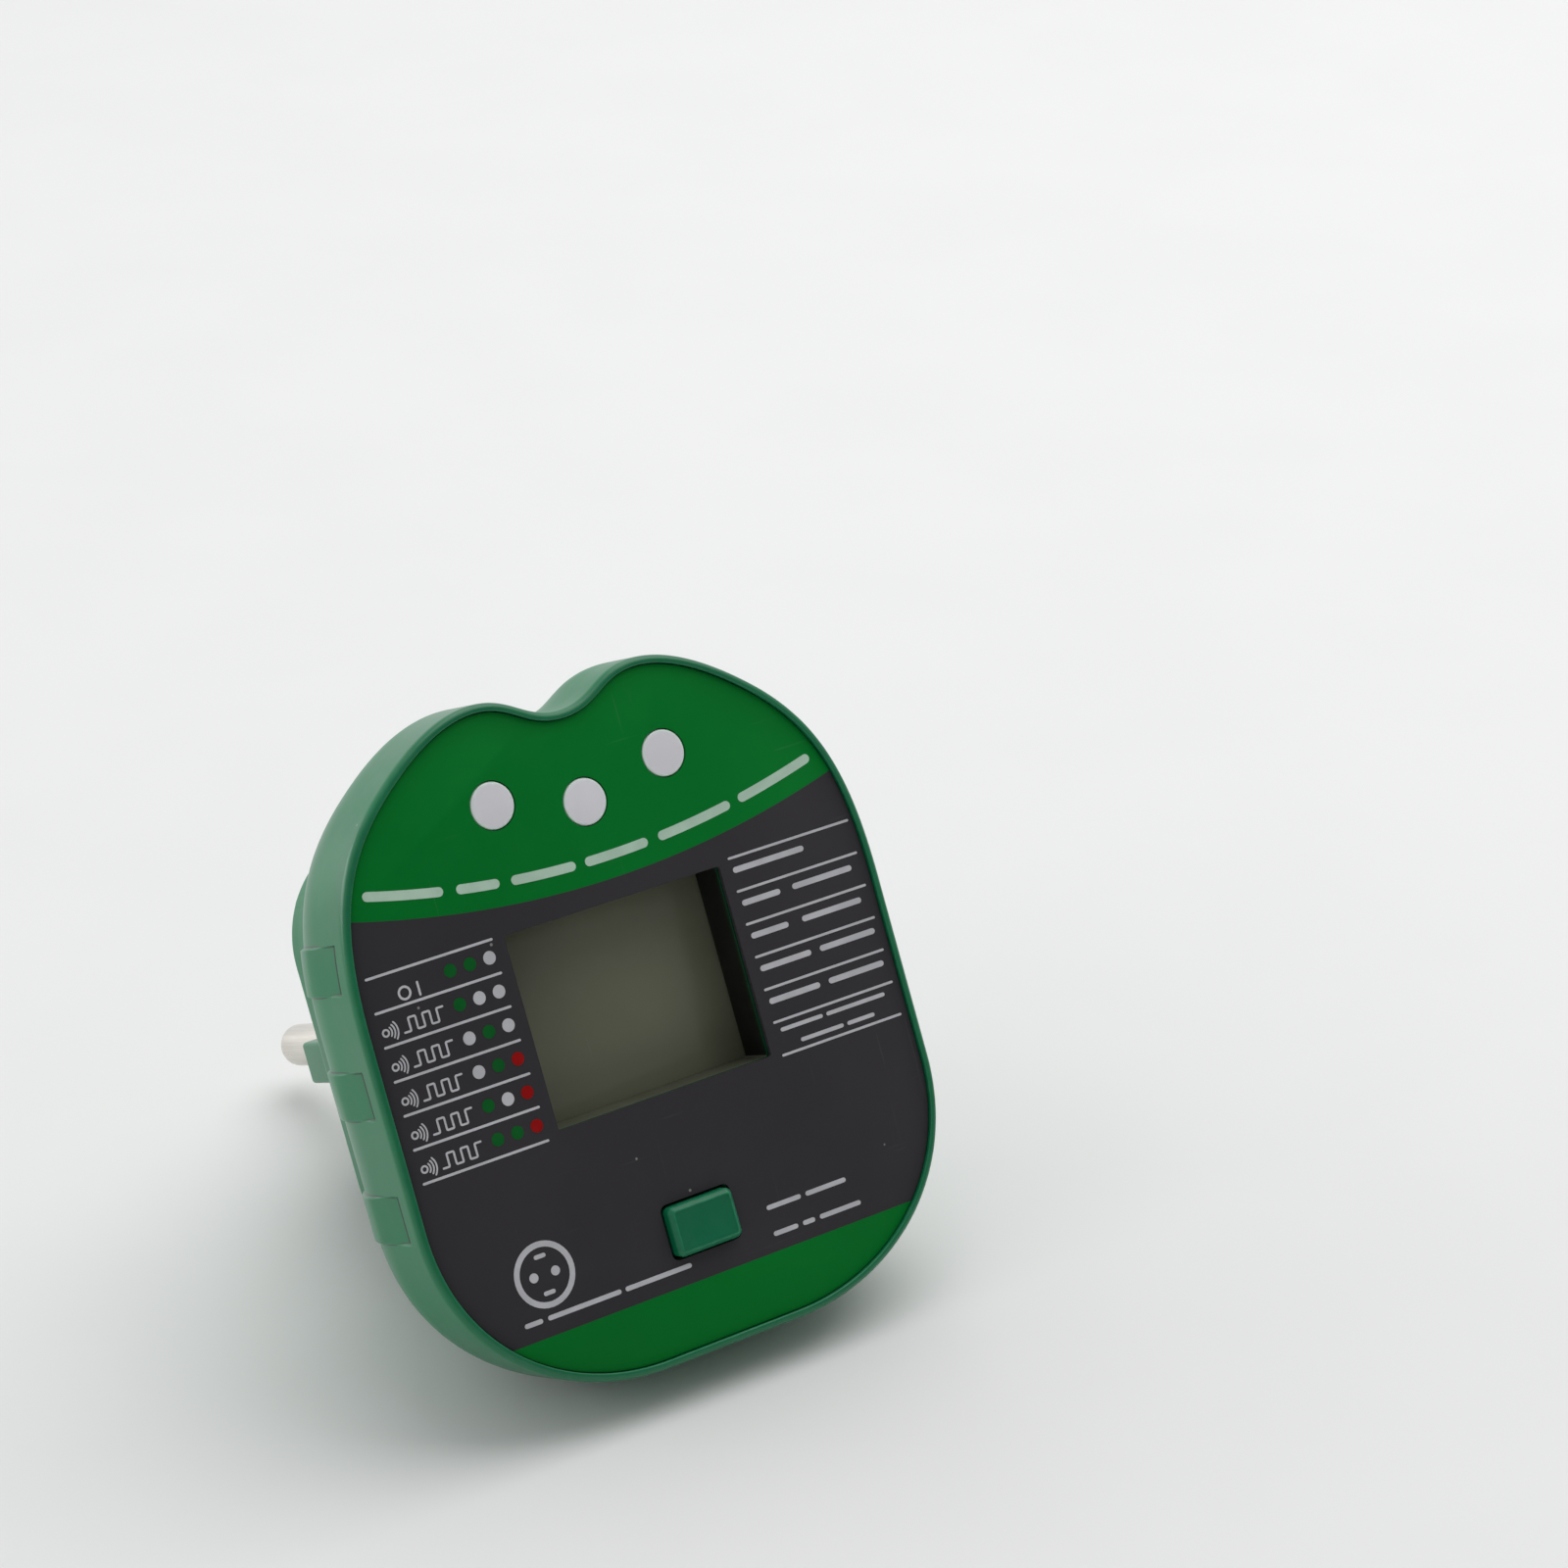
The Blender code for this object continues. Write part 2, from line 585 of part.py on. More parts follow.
def test_button():
    """The cap with its bevelled front edge, a flange that stops it behind the panel, and a stem."""
    green = material("case_green", GREEN, 0.42)
    half_x, half_z = BUTTON_HALF
    flange_y = PANEL_BACK_Y + GAP
    stem = 1.4 * mm
    top_y = LABEL_Y - BUTTON_PROUD
    rings = [
        (button_outline(0.85 * mm), top_y),
        (button_outline(0.15 * mm), top_y + 0.65 * mm),
        (button_outline(), top_y + 0.95 * mm),
        (button_outline(), flange_y + FLANGE / 2),
    ]
    button = add_part("test_button", loft_mesh("test_button", rings), green, round_piece=True)
    bm = bmesh.new()
    low = (-half_x - FLANGE, flange_y, -half_z - FLANGE)
    add_box(bm, low, (half_x + FLANGE, flange_y + FLANGE, half_z + FLANGE))
    plate = add_helper("button_flange", mesh_from("button_flange", bm))
    boolean(button, plate, "UNION")
    bm = bmesh.new()
    add_box(bm, (-stem, flange_y + FLANGE / 2, -stem), (stem, SWITCH_TOP_Y - GAP, stem))
    post = add_helper("button_stem", mesh_from("button_stem", bm))
    boolean(button, post, "UNION")
    for obj in (button, plate, post):
        obj.location = (BUTTON_X, 0.0, BUTTON_Z)


def switch():
    black = material("switch_black", (0.02, 0.02, 0.02), 0.45)
    steel = material("plated_steel", (0.62, 0.62, 0.6), 0.3, 1.0)
    half = 3.0 * mm
    body_back = BOARD_Y - GAP
    body_front = body_back - 3.2 * mm
    bm = bmesh.new()
    add_box(bm, (-half, body_front, -half), (half, body_back, half))
    body = add_part("switch_body", mesh_from("switch_body", bm), black)
    bm = bmesh.new()
    add_rod(bm, 0.0, 0.0, 1.9 * mm, body_front - 1.0 * mm, body_back - 0.6 * mm, 16)
    well = add_helper("switch_well", mesh_from("switch_well", bm))
    boolean(body, well, "DIFFERENCE")

    cover_back = body_front - GAP
    cover = flat_plate(
        "switch_cover",
        [rounded_rectangle(0.0, 0.0, half, half), circle(0.0, 0.0, 1.9 * mm, 16)],
        cover_back - GAP,
        cover_back,
        steel,
    )
    cover.location = (BUTTON_X, cover.location.y, BUTTON_Z)

    rest_depth = body_back - 0.6 * mm - GAP - BUTTON_TRAVEL - 0.2 * mm
    height = rest_depth - SWITCH_TOP_Y
    plunger = [(0.0, height), (1.35 * mm, height), (1.55 * mm, height - 0.2 * mm), (1.55 * mm, 0.0), (0.0, 0.0)]
    turned_part("switch_plunger", plunger, black, along_minus_y(BUTTON_X, rest_depth, BUTTON_Z), 16)
    for obj in (body, well):
        obj.location = (BUTTON_X, 0.0, BUTTON_Z)


def main_board():
    loops = [outline(WALL + 1.5 * mm, count=20)]
    loops += [circle(x, z, 3.4 * mm, 16) for x, z in CASE_SCREWS]
    loops += [circle(x, z, 1.3 * mm, 12) for x, z in BOARD_SCREWS]
    laminate = material("board_green", (0.02, 0.12, 0.05), 0.5)
    flat_plate("main_board", loops, BOARD_Y, BOARD_BACK_Y, laminate)


def board_box(name, x, z, half_x, half_z, height, finish, bevel=0.3 * mm):
    """A component standing on the back of the board."""
    base = BOARD_BACK_Y + GAP
    low = (x - half_x, base, z - half_z)
    high = (x + half_x, base + height, z + half_z)
    add_part(name, box_mesh(name, low, high, bevel), finish)


def axial_part(name, x, z, radius, half_length, finish):
    """A component lying along X on the back of the board, on its two bent leads."""
    axis_y = BOARD_BACK_Y + GAP + radius + 0.4 * mm
    profile = [
        (0.0, half_length),
        (radius * 0.7, half_length),
        (radius, half_length - 0.4 * mm),
        (radius, -half_length + 0.4 * mm),
        (radius * 0.7, -half_length),
        (0.0, -half_length),
    ]
    place = Matrix.Translation((x, axis_y, z)) @ Matrix.Rotation(math.radians(90), 4, "Y")
    body = turned_part(name, profile, finish, place, 14)
    reach = half_length + 2.0 * mm
    bend = 0.6 * mm
    base = BOARD_BACK_Y + GAP
    path = [(-reach, base), (-reach, axis_y - bend), (-reach + bend, axis_y)]
    path += [(reach - bend, axis_y), (reach, axis_y - bend), (reach, base)]
    lead = tube_mesh(name + "_lead", [(x + dx, y, z) for dx, y in path], 0.4 * mm, 1)
    boolean(body, add_helper(name + "_lead", lead), "UNION")


def tube_curve(name, points, radius, resolution=2):
    curve = bpy.data.curves.new(name, "CURVE")
    curve.dimensions = "3D"
    curve.bevel_depth = radius
    curve.bevel_resolution = resolution
    curve.use_fill_caps = True
    spline = curve.splines.new("POLY")
    spline.points.add(len(points) - 1)
    for point, place in zip(spline.points, points):
        point.co = (*place, 1.0)
    return curve


def tube_mesh(name, points, radius, resolution=2):
    """A tube as a welded mesh, ready to be cut or joined."""
    source = bpy.data.objects.new(name + "_curve", tube_curve(name + "_curve", points, radius, resolution))
    bpy.context.scene.collection.objects.link(source)
    graph = bpy.context.evaluated_depsgraph_get()
    mesh = bpy.data.meshes.new_from_object(source.evaluated_get(graph))
    bpy.data.objects.remove(source, do_unlink=True)
    bm = bmesh.new()
    bm.from_mesh(mesh)
    bmesh.ops.remove_doubles(bm, verts=bm.verts, dist=0.00001)
    bmesh.ops.recalc_face_normals(bm, faces=bm.faces)
    bm.to_mesh(mesh)
    bm.free()
    mesh.name = name
    return mesh


def components():
    black = material("chip_black", (0.02, 0.02, 0.022), 0.4)
    board_box("controller_chip", 0.0, 2.0 * mm, 4.5 * mm, 4.5 * mm, 1.6 * mm, black)
    board_box("bridge_rectifier", 0.0, -7.0 * mm, 2.6 * mm, 2.2 * mm, 2.4 * mm, black)
    yellow = material("capacitor_yellow", (0.62, 0.42, 0.04), 0.45)
    board_box("film_capacitor", -16.2 * mm, -1.8 * mm, 3.0 * mm, 6.2 * mm, 9.5 * mm, yellow, 0.5 * mm)

    base = BOARD_BACK_Y + GAP
    sounder = [(0.0, 5.6), (1.0, 5.6), (1.0, 7.0), (5.6, 7.0), (6.0, 6.6), (6.0, 0.0), (0.0, 0.0)]
    profile = [(r * mm, h * mm) for r, h in sounder]
    turned_part("buzzer", profile, black, along_y(BUZZER[0], base, BUZZER[1]))

    can = [(0.0, 9.6), (3.4, 9.6), (4.0, 9.1), (4.0, 1.6), (3.7, 1.2), (4.0, 0.8), (4.0, 0.0), (0.0, 0.0)]
    blue = material("capacitor_blue", (0.03, 0.05, 0.16), 0.35)
    profile = [(r * mm, h * mm) for r, h in can]
    turned_part("electrolytic_capacitor", profile, blue, along_y(-1.0 * mm, base, -16.5 * mm), 20)

    ceramic = material("resistor_body", (0.45, 0.33, 0.2), 0.6)
    for k, z in enumerate((14.5 * mm, 19.5 * mm)):
        axial_part("test_resistor_%d" % (k + 1), 0.0, z, 1.8 * mm, 5.0 * mm, ceramic)
    axial_part("fuse", 0.0, 10.0 * mm, 1.4 * mm, 3.6 * mm, material("fuse_body", (0.5, 0.5, 0.48), 0.4))


def plug_body():
    green = material("case_green", GREEN, 0.42)
    start = BACK_Y + GAP
    bm = bmesh.new()
    add_rod(bm, 0.0, 0.0, PLUG_RADIUS, start, 0.0, 40)
    body = add_part("plug_body", mesh_from("plug_body", bm), green, round_piece=True)

    bm = bmesh.new()
    add_box(bm, (-WING_HALF_WIDTH, start, -WING_HALF_HEIGHT), (WING_HALF_WIDTH, WING_END_Y, WING_HALF_HEIGHT))
    boolean(body, add_helper("plug_wings", mesh_from("plug_wings", bm)), "UNION")
    bm = bmesh.new()
    add_box(bm, (-ARM_HALF_WIDTH, start, -ARM_HALF_HEIGHT), (ARM_HALF_WIDTH, ARM_END_Y, ARM_HALF_HEIGHT))
    boolean(body, add_helper("plug_arms", mesh_from("plug_arms", bm)), "UNION")
    bm = bmesh.new()
    add_rod(bm, 0.0, 0.0, NECK_RADIUS, NECK_END_Y, start + 2.0 * mm, 32)
    boolean(body, add_helper("plug_neck", mesh_from("plug_neck", bm)), "UNION")

    bm = bmesh.new()
    for side in (-1, 1):
        add_rod(bm, side * PIN_X, 0.0, PIN_RADIUS + GAP, NECK_END_Y - 1.0 * mm, 1.0 * mm, 20)
    for x, z in PLUG_SCREWS:
        add_rod(bm, x, z, PILOT_RADIUS, NECK_END_Y - 1.0 * mm, NECK_END_Y + 9.0 * mm, 12)
    boolean(body, add_helper("plug_holes", mesh_from("plug_holes", bm)), "DIFFERENCE")


def pins():
    nickel = material("pin_nickel", NICKEL, 0.28, 1.0)
    tail = 1.5 * mm
    collar = 3.6 * mm
    domed = [
        (PIN_RADIUS * math.sin(a), PIN_LENGTH - PIN_RADIUS * 0.8 + PIN_RADIUS * 0.8 * math.cos(a))
        for a in np.radians((0, 22, 45, 68, 90))
    ]
    shank = [
        (PIN_RADIUS, NECK_END_Y - GAP),
        (collar, NECK_END_Y - GAP),
        (collar, COLLAR_BACK_Y),
        (tail, COLLAR_BACK_Y),
        (tail, TAIL_END_Y),
        (0.0, TAIL_END_Y),
    ]
    for name, side in (("live_pin", -1), ("neutral_pin", 1)):
        turned_part(name, domed + shank, nickel, along_y(side * PIN_X, 0.0, 0.0), 20)


def plug_retainer():
    bm = bmesh.new()
    add_rod(bm, 0.0, 0.0, RETAINER_RADIUS, RETAINER_BACK_Y, BACK_Y - WALL - GAP, 32)
    white = material("retainer_white", (0.6, 0.6, 0.58), 0.5)
    plate = add_part("plug_retainer", mesh_from("plug_retainer", bm), white, round_piece=True)
    bm = bmesh.new()
    add_rod(bm, 0.0, 0.0, NECK_RADIUS + 0.5 * mm, RETAINER_FRONT_Y, BACK_Y, 32)
    boolean(plate, add_helper("retainer_hollow", mesh_from("retainer_hollow", bm)), "DIFFERENCE")
    bm = bmesh.new()
    for side in (-1, 1):
        add_rod(bm, side * PIN_X, 0.0, 1.9 * mm, RETAINER_BACK_Y - 1.0 * mm, RETAINER_FRONT_Y + 0.5 * mm, 14)
    for x, z in PLUG_SCREWS:
        add_rod(bm, x, z, CLEARANCE_RADIUS, RETAINER_BACK_Y - 1.0 * mm, RETAINER_FRONT_Y + 0.5 * mm, 12)
    boolean(plate, add_helper("retainer_holes", mesh_from("retainer_holes", bm)), "DIFFERENCE")


def earth_bracket():
    """A strip bent into a U whose two legs leave the case and bow outwards as the side contacts."""
    leg = [
        (CONTACT_Z, BACK_Y + 2.0 * mm),
        (CONTACT_Z + CONTACT_BOW * 0.6, BACK_Y + 5.0 * mm),
        (CONTACT_Z + CONTACT_BOW, BACK_Y + 9.0 * mm),
        (CONTACT_Z + CONTACT_BOW * 0.7, BACK_Y + 13.0 * mm),
        (CONTACT_Z, BACK_Y + 16.5 * mm),
    ]
    path = [(-z, y) for z, y in reversed(leg)] + [(-CONTACT_Z, BRACKET_Y), (CONTACT_Z, BRACKET_Y)] + leg
    bm = bmesh.new()
    rows = [[bm.verts.new((x, y, z)) for z, y in path] for x in (-CONTACT_HALF_WIDTH, CONTACT_HALF_WIDTH)]
    for i in range(len(path) - 1):
        bm.faces.new((rows[0][i], rows[0][i + 1], rows[1][i + 1], rows[1][i]))
    nickel = material("contact_nickel", NICKEL, 0.3, 1.0)
    bracket = add_part("earth_bracket", mesh_from("earth_bracket", bm), nickel)
    thick = bracket.modifiers.new("thickness", "SOLIDIFY")
    thick.thickness = CONTACT_THICK
    thick.offset = 0.0
    thick.use_even_offset = True


def smooth_route(points, count=14):
    """Points along one smooth curve through a route's own points."""
    points = np.array(points) * mm
    knots = np.arange(len(points), dtype=float)
    padded = np.vstack([2 * points[0] - points[1], points, 2 * points[-1] - points[-2]])
    route = []
    for t in np.linspace(0.0, knots[-1], count):
        i = min(int(t), len(points) - 2)
        u = t - i
        a, b, c, d = padded[i : i + 4]
        bend = 2 * a - 5 * b + 4 * c - d
        route.append(0.5 * (2 * b + (c - a) * u + bend * u**2 + (3 * b - a - 3 * c + d) * u**3))
    return route


def wires():
    tail = TAIL_END_Y / mm - 0.3
    board = BOARD_BACK_Y / mm + 0.7
    strap = BRACKET_Y / mm - 0.8
    live = [(-9.5, tail, 0), (-9.5, tail - 2.2, 0.8), (-8.6, -35.5, 6.5), (-8.4, board, 9)]
    neutral = [(-x, y, z) for x, y, z in live]
    earth = [(0, strap, -11), (0.5, strap - 2, -11), (7.5, -34.5, -11), (9, board, -10)]
    routes = {
        "live_wire": ((0.3, 0.05, 0.03), live),
        "neutral_wire": ((0.02, 0.05, 0.3), neutral),
        "earth_wire": ((0.1, 0.3, 0.04), earth),
    }
    for name, (colour, route) in routes.items():
        cover = material(name + "_cover", colour, 0.5)
        add_part(name, tube_curve(name, smooth_route(route), 0.8 * mm), cover)


def screw(name, x, z, head_y, head_radius, shank_radius, length, direction):
    """A screw along Y whose head's underside is at head_y; direction is the way its point faces."""
    steel = material("screw_steel", (0.5, 0.5, 0.5), 0.35, 1.0)
    head = 1.5 * mm
    profile = [
        (0.0, head - 0.7 * mm),
        (0.7 * mm, head),
        (head_radius - 0.3 * mm, head),
        (head_radius, head - 0.4 * mm),
        (head_radius, 0.0),
        (shank_radius, 0.0),
        (shank_radius, -length + 0.8 * mm),
        (0.3 * mm, -length),
        (0.0, -length),
    ]
    place = along_y(x, head_y, z) if direction < 0 else along_minus_y(x, head_y, z)
    turned_part(name, profile, steel, place, 12)


def screws():
    seat = BACK_Y - COUNTERBORE_DEPTH + GAP
    for k, (x, z) in enumerate(CASE_SCREWS):
        screw("case_screw_%d" % (k + 1), x, z, seat, 2.25 * mm, 0.95 * mm, 15.0 * mm, -1)
    seat = BOARD_BACK_Y + GAP
    for k, (x, z) in enumerate(BOARD_SCREWS):
        screw("board_screw_%d" % (k + 1), x, z, seat, 2.0 * mm, 0.75 * mm, 6.0 * mm, -1)
    seat = RETAINER_BACK_Y - GAP
    for k, (x, z) in enumerate(PLUG_SCREWS):
        screw("plug_screw_%d" % (k + 1), x, z, seat, 2.2 * mm, 0.95 * mm, 9.0 * mm, 1)


front_case()
rear_case()
face_label()
display()
lamps()
test_button()
switch()
main_board()
components()
plug_body()
pins()
plug_retainer()
earth_bracket()
wires()
screws()
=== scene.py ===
import math

import bmesh
import bpy
import numpy as np
from mathutils import Euler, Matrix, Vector


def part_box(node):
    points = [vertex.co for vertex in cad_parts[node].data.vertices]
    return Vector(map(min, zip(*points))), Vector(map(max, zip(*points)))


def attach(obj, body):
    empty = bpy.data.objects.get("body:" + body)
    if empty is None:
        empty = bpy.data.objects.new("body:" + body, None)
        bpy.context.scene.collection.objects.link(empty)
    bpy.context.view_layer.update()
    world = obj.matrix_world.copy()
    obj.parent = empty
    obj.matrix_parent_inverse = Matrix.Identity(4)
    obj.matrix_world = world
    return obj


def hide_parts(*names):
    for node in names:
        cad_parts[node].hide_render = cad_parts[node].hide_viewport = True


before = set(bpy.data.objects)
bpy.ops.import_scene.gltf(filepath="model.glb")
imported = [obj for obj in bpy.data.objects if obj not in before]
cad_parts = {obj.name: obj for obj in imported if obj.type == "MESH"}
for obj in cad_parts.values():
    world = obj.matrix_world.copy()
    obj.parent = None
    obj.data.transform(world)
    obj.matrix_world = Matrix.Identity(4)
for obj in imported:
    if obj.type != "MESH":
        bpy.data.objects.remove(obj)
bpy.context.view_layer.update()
mm = 0.001
print("frame loaded:", len(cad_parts), "parts")


def nodeBox(name):  # lowest, highest and middle point of a CAD part, in millimetres
    low, high = (np.array(corner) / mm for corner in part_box(name))
    return low, high, (low + high) / 2


def tone(red, green, blue):  # a colour given on a 0 to 255 scale, as linear light
    value = np.array((red, green, blue)) / 255
    linear = np.where(value <= 0.04045, value / 12.92, ((value + 0.055) / 1.055) ** 2.4)
    return (*(float(part) for part in linear), 1.0)


def addNode(tree, kind, sockets=None, **settings):
    node = tree.nodes.new("ShaderNode" + kind)
    for name, value in settings.items():
        setattr(node, name, value)
    for name, value in (sockets or {}).items():
        if isinstance(value, bpy.types.NodeSocket):
            tree.links.new(value, node.inputs[name])
        else:
            node.inputs[name].default_value = value
    return node


def calc(tree, operation, first, second=0.0, clamp=False):
    return addNode(tree, "Math", {0: first, 1: second}, operation=operation, use_clamp=clamp).outputs[0]


def mixColour(tree, share, first, second, blend="MIX"):
    sockets = {0: share, 6: first, 7: second}
    return addNode(tree, "Mix", sockets, data_type="RGBA", blend_type=blend).outputs[2]


def ramp(tree, value, fromLow, fromHigh, toLow=0.0, toHigh=1.0):
    sockets = {"Value": value, "From Min": fromLow, "From Max": fromHigh, "To Min": toLow, "To Max": toHigh}
    return addNode(tree, "MapRange", sockets, interpolation_type="SMOOTHSTEP").outputs[0]


def greyColour(tree, value):
    return addNode(tree, "CombineColor", {0: value, 1: value, 2: value}).outputs[0]


def times(tree, first, second, clamp=False):
    return calc(tree, "MULTIPLY", first, second, clamp)


def newGroup(name, inputs, outputs):
    group = bpy.data.node_groups.new(name, "ShaderNodeTree")
    for label, value in inputs.items():
        socket = group.interface.new_socket(label, in_out="INPUT", socket_type="NodeSocketFloat")
        socket.default_value = value
    for label in outputs:
        group.interface.new_socket(label, in_out="OUTPUT", socket_type="NodeSocketFloat")
    return group, group.nodes.new("NodeGroupInput").outputs, group.nodes.new("NodeGroupOutput").inputs


def objectPlace(tree):
    return addNode(tree, "TexCoord").outputs["Object"]


def noise(tree, scale, detail=2.0, place=None):
    sockets = {"Vector": place or objectPlace(tree), "Scale": scale, "Detail": detail}
    return addNode(tree, "TexNoise", sockets).outputs["Fac"]


def makeGrainGroup(coarseSize=0.31, coarseShare=0.6):
    # fine spark-eroded mould texture, coarse * share + fine * (1 - share), and a slow cloudy change of shade
    tree, given, put = newGroup("mouldGrain", {"Size": 2400.0, "Clouds": 70.0}, ["Height", "Cloud"])
    fine = noise(tree, given["Size"], 3.0)
    coarse = noise(tree, times(tree, given["Size"], coarseSize), 1.0)
    height = calc(tree, "ADD", times(tree, coarse, coarseShare), times(tree, fine, 1 - coarseShare))
    tree.links.new(height, put["Height"])
    tree.links.new(ramp(tree, noise(tree, given["Clouds"], 4.0), 0.3, 0.7), put["Cloud"])
    return tree


def upwardShare(tree):  # 1 where a face looks straight up, -1 where it looks down
    return addNode(tree, "SeparateXYZ", {0: addNode(tree, "NewGeometry").outputs["Normal"]}).outputs["Z"]


def makeDustGroup(patchSize=420.0, speckSpacing=210.0, speckRadius=0.045):
    # dust that lies thickest on what faces up, and a few separate specks
    tree, given, put = newGroup("settledDust", {"Amount": 0.2, "Specks": 0.2}, ["Film", "Speck"])
    facing = ramp(tree, upwardShare(tree), -0.2, 1.0, 0.15, 1.0)
    patchy = ramp(tree, noise(tree, patchSize, 5.0), 0.42, 0.72)
    tree.links.new(times(tree, times(tree, facing, patchy), given["Amount"]), put["Film"])
    cells = addNode(tree, "TexVoronoi", {"Vector": objectPlace(tree), "Scale": speckSpacing}, feature="F1")
    dot = ramp(tree, cells.outputs["Distance"], speckRadius, 0.02)
    chosen = ramp(tree, addNode(tree, "SeparateColor", {0: cells.outputs["Color"]}).outputs[0], 0.55, 0.6)
    tree.links.new(times(tree, times(tree, dot, chosen), given["Specks"]), put["Speck"])
    return tree


def makeEdgeGroup(breakSize=900.0):
    # handling polish where the piece's edge attribute is high, and painted crease shade with grime where its
    # crease attribute is
    tree, given, put = newGroup("handledEdgeAndCreaseShade", {"Amount": 0.5, "Grime": 0.6}, ["Mask", "Crease"])
    sharp = addNode(tree, "Attribute", attribute_name="edge").outputs["Fac"]
    broken = ramp(tree, noise(tree, breakSize, 3.0), 0.3, 0.65, 0.35, 1.0)
    tree.links.new(times(tree, times(tree, sharp, broken), given["Amount"], True), put["Mask"])
    crease = addNode(tree, "Attribute", attribute_name="crease").outputs["Fac"]
    tree.links.new(times(tree, crease, given["Grime"], True), put["Crease"])
    return tree


scratches = ((0.6, (2600.0, 90.0, 60.0)), (-0.9, (80.0, 120.0, 2300.0)))  # turn, and fineness along X, Y and Z


def makeScuffGroup():
    # hair-fine scratches in two directions, as thin bright lines
    tree, given, put = newGroup("fineScuffs", {"Amount": 0.3}, ["Mask"])
    lines = []
    for turn, stretch in scratches:
        sockets = {"Vector": objectPlace(tree), "Rotation": (0.0, turn, turn), "Scale": stretch}
        placed = addNode(tree, "Mapping", sockets)
        lines.append(ramp(tree, noise(tree, 1.0, 1.0, placed.outputs[0]), 0.70, 0.78))
    both = calc(tree, "MAXIMUM", lines[0], lines[1])
    patches = ramp(tree, noise(tree, 150.0, 2.0), 0.5, 0.7)
    tree.links.new(times(tree, times(tree, both, patches), given["Amount"]), put["Mask"])
    return tree


groups = {
    "grain": makeGrainGroup(),
    "dust": makeDustGroup(),
    "edge": makeEdgeGroup(),
    "scuff": makeScuffGroup(),
}


def useGroup(tree, name, **inputs):
    return addNode(tree, "Group", inputs, node_tree=groups[name]).outputs


# the first is the colour of painted shade and grime in creases
creaseShadeGrimeColour, dustColour = tone(12, 16, 14), tone(196, 194, 188)


def wornColourWithCreaseShade(tree, look, base):
    # the base clouded, polished at edges, scuffed, darkened in creases by painted shade and grime, then under
    # dust: colour, roughness, bump
    grain = useGroup(tree, "grain", Size=look.get("grainSize", 2400.0), Clouds=look.get("clouds", 70.0))
    dust = useGroup(tree, "dust", Amount=look.get("dust", 0.12), Specks=look.get("specks", 0.25))
    edge, crease = useGroup(tree, "edge", Amount=look.get("edge", 0.5), Grime=look.get("creaseShadeGrime", 0.6))
    scuff = useGroup(tree, "scuff", Amount=look.get("scuff", 0.2))["Mask"]
    cloudy = look.get("cloudy", 0.08)
    shade = ramp(tree, grain["Cloud"], 0.0, 1.0, 1.0 - cloudy, 1.0 + cloudy)
    colour = mixColour(tree, 1.0, base, greyColour(tree, shade), "MULTIPLY")
    colour = mixColour(tree, edge, colour, look.get("edgeColour", tone(120, 175, 150)))
    colour = mixColour(tree, scuff, colour, look.get("scuffColour", tone(150, 165, 158)))
    # painted shade and grime in creases
    colour = mixColour(tree, crease, colour, creaseShadeGrimeColour)
    colour = mixColour(tree, calc(tree, "MAXIMUM", dust["Film"], dust["Speck"]), colour, dustColour)
    rough = look["roughness"]
    roughness = calc(tree, "ADD", ramp(tree, grain["Cloud"], 0.0, 1.0, rough - 0.05, rough + 0.05),
                     times(tree, dust["Film"], 0.5))
    roughness = calc(tree, "SUBTRACT", roughness, times(tree, edge, 0.1), True)
    height = calc(tree, "SUBTRACT", grain["Height"], scuff)
    sockets = {"Height": height, "Strength": look.get("bump", 0.25), "Distance": look.get("depth", 0.03) * mm}
    return colour, roughness, addNode(tree, "Bump", sockets).outputs[0]


def newFinish(name, look, baseOf=None, **fixed):
    # a Principled finish; baseOf(tree) gives the base colour where it changes over the piece
    material = bpy.data.materials.new(name)
    material.use_nodes = True
    tree = material.node_tree
    shader = tree.nodes["Principled BSDF"]
    base = baseOf(tree) if baseOf else look["colour"]
    for socket, value in zip(("Base Color", "Roughness", "Normal"), wornColourWithCreaseShade(tree, look, base)):
        tree.links.new(value, shader.inputs[socket])
    shader.inputs["Metallic"].default_value = look.get("metallic", 0.0)
    for socket, value in fixed.items():
        shader.inputs[socket].default_value = value
    return material


def within(tree, value, low, high, soft):  # 1 between low and high, with soft ends
    return times(tree, ramp(tree, value, low - soft, low + soft), ramp(tree, value, high + soft, high - soft))


casePlastic = {
    "colour": tone(6, 109, 68), "roughness": 0.34, "grainSize": 2600.0, "bump": 0.22, "depth": 0.03,
    "cloudy": 0.07, "edge": 0.25, "edgeColour": tone(50, 136, 98), "creaseShadeGrime": 0.75, "dust": 0.03,
    "specks": 0.3, "scuff": 0.05,
}
# painted shade for the display well: its walls darken to near black with depth, and the upward-facing bottom
# wall gets a paler painted lit sill
wellPaintedShade = {
    "halfWidth": 14.2, "halfHeight": 11.7, "middleZ": 1.05, "front": -52.2, "dark": -50.4, "back": -45.0,
    "colour": tone(6, 9, 8), "paintedLitSill": tone(84, 86, 72),
}
# painted shadow in a band just behind the front step of each grip pad
padGrime = {
    "middles": (-12.9, 0.0, 12.9), "half": 2.35, "from": -49.95, "to": -49.0, "side": 24.0,
    "colour": tone(3, 40, 26),
}


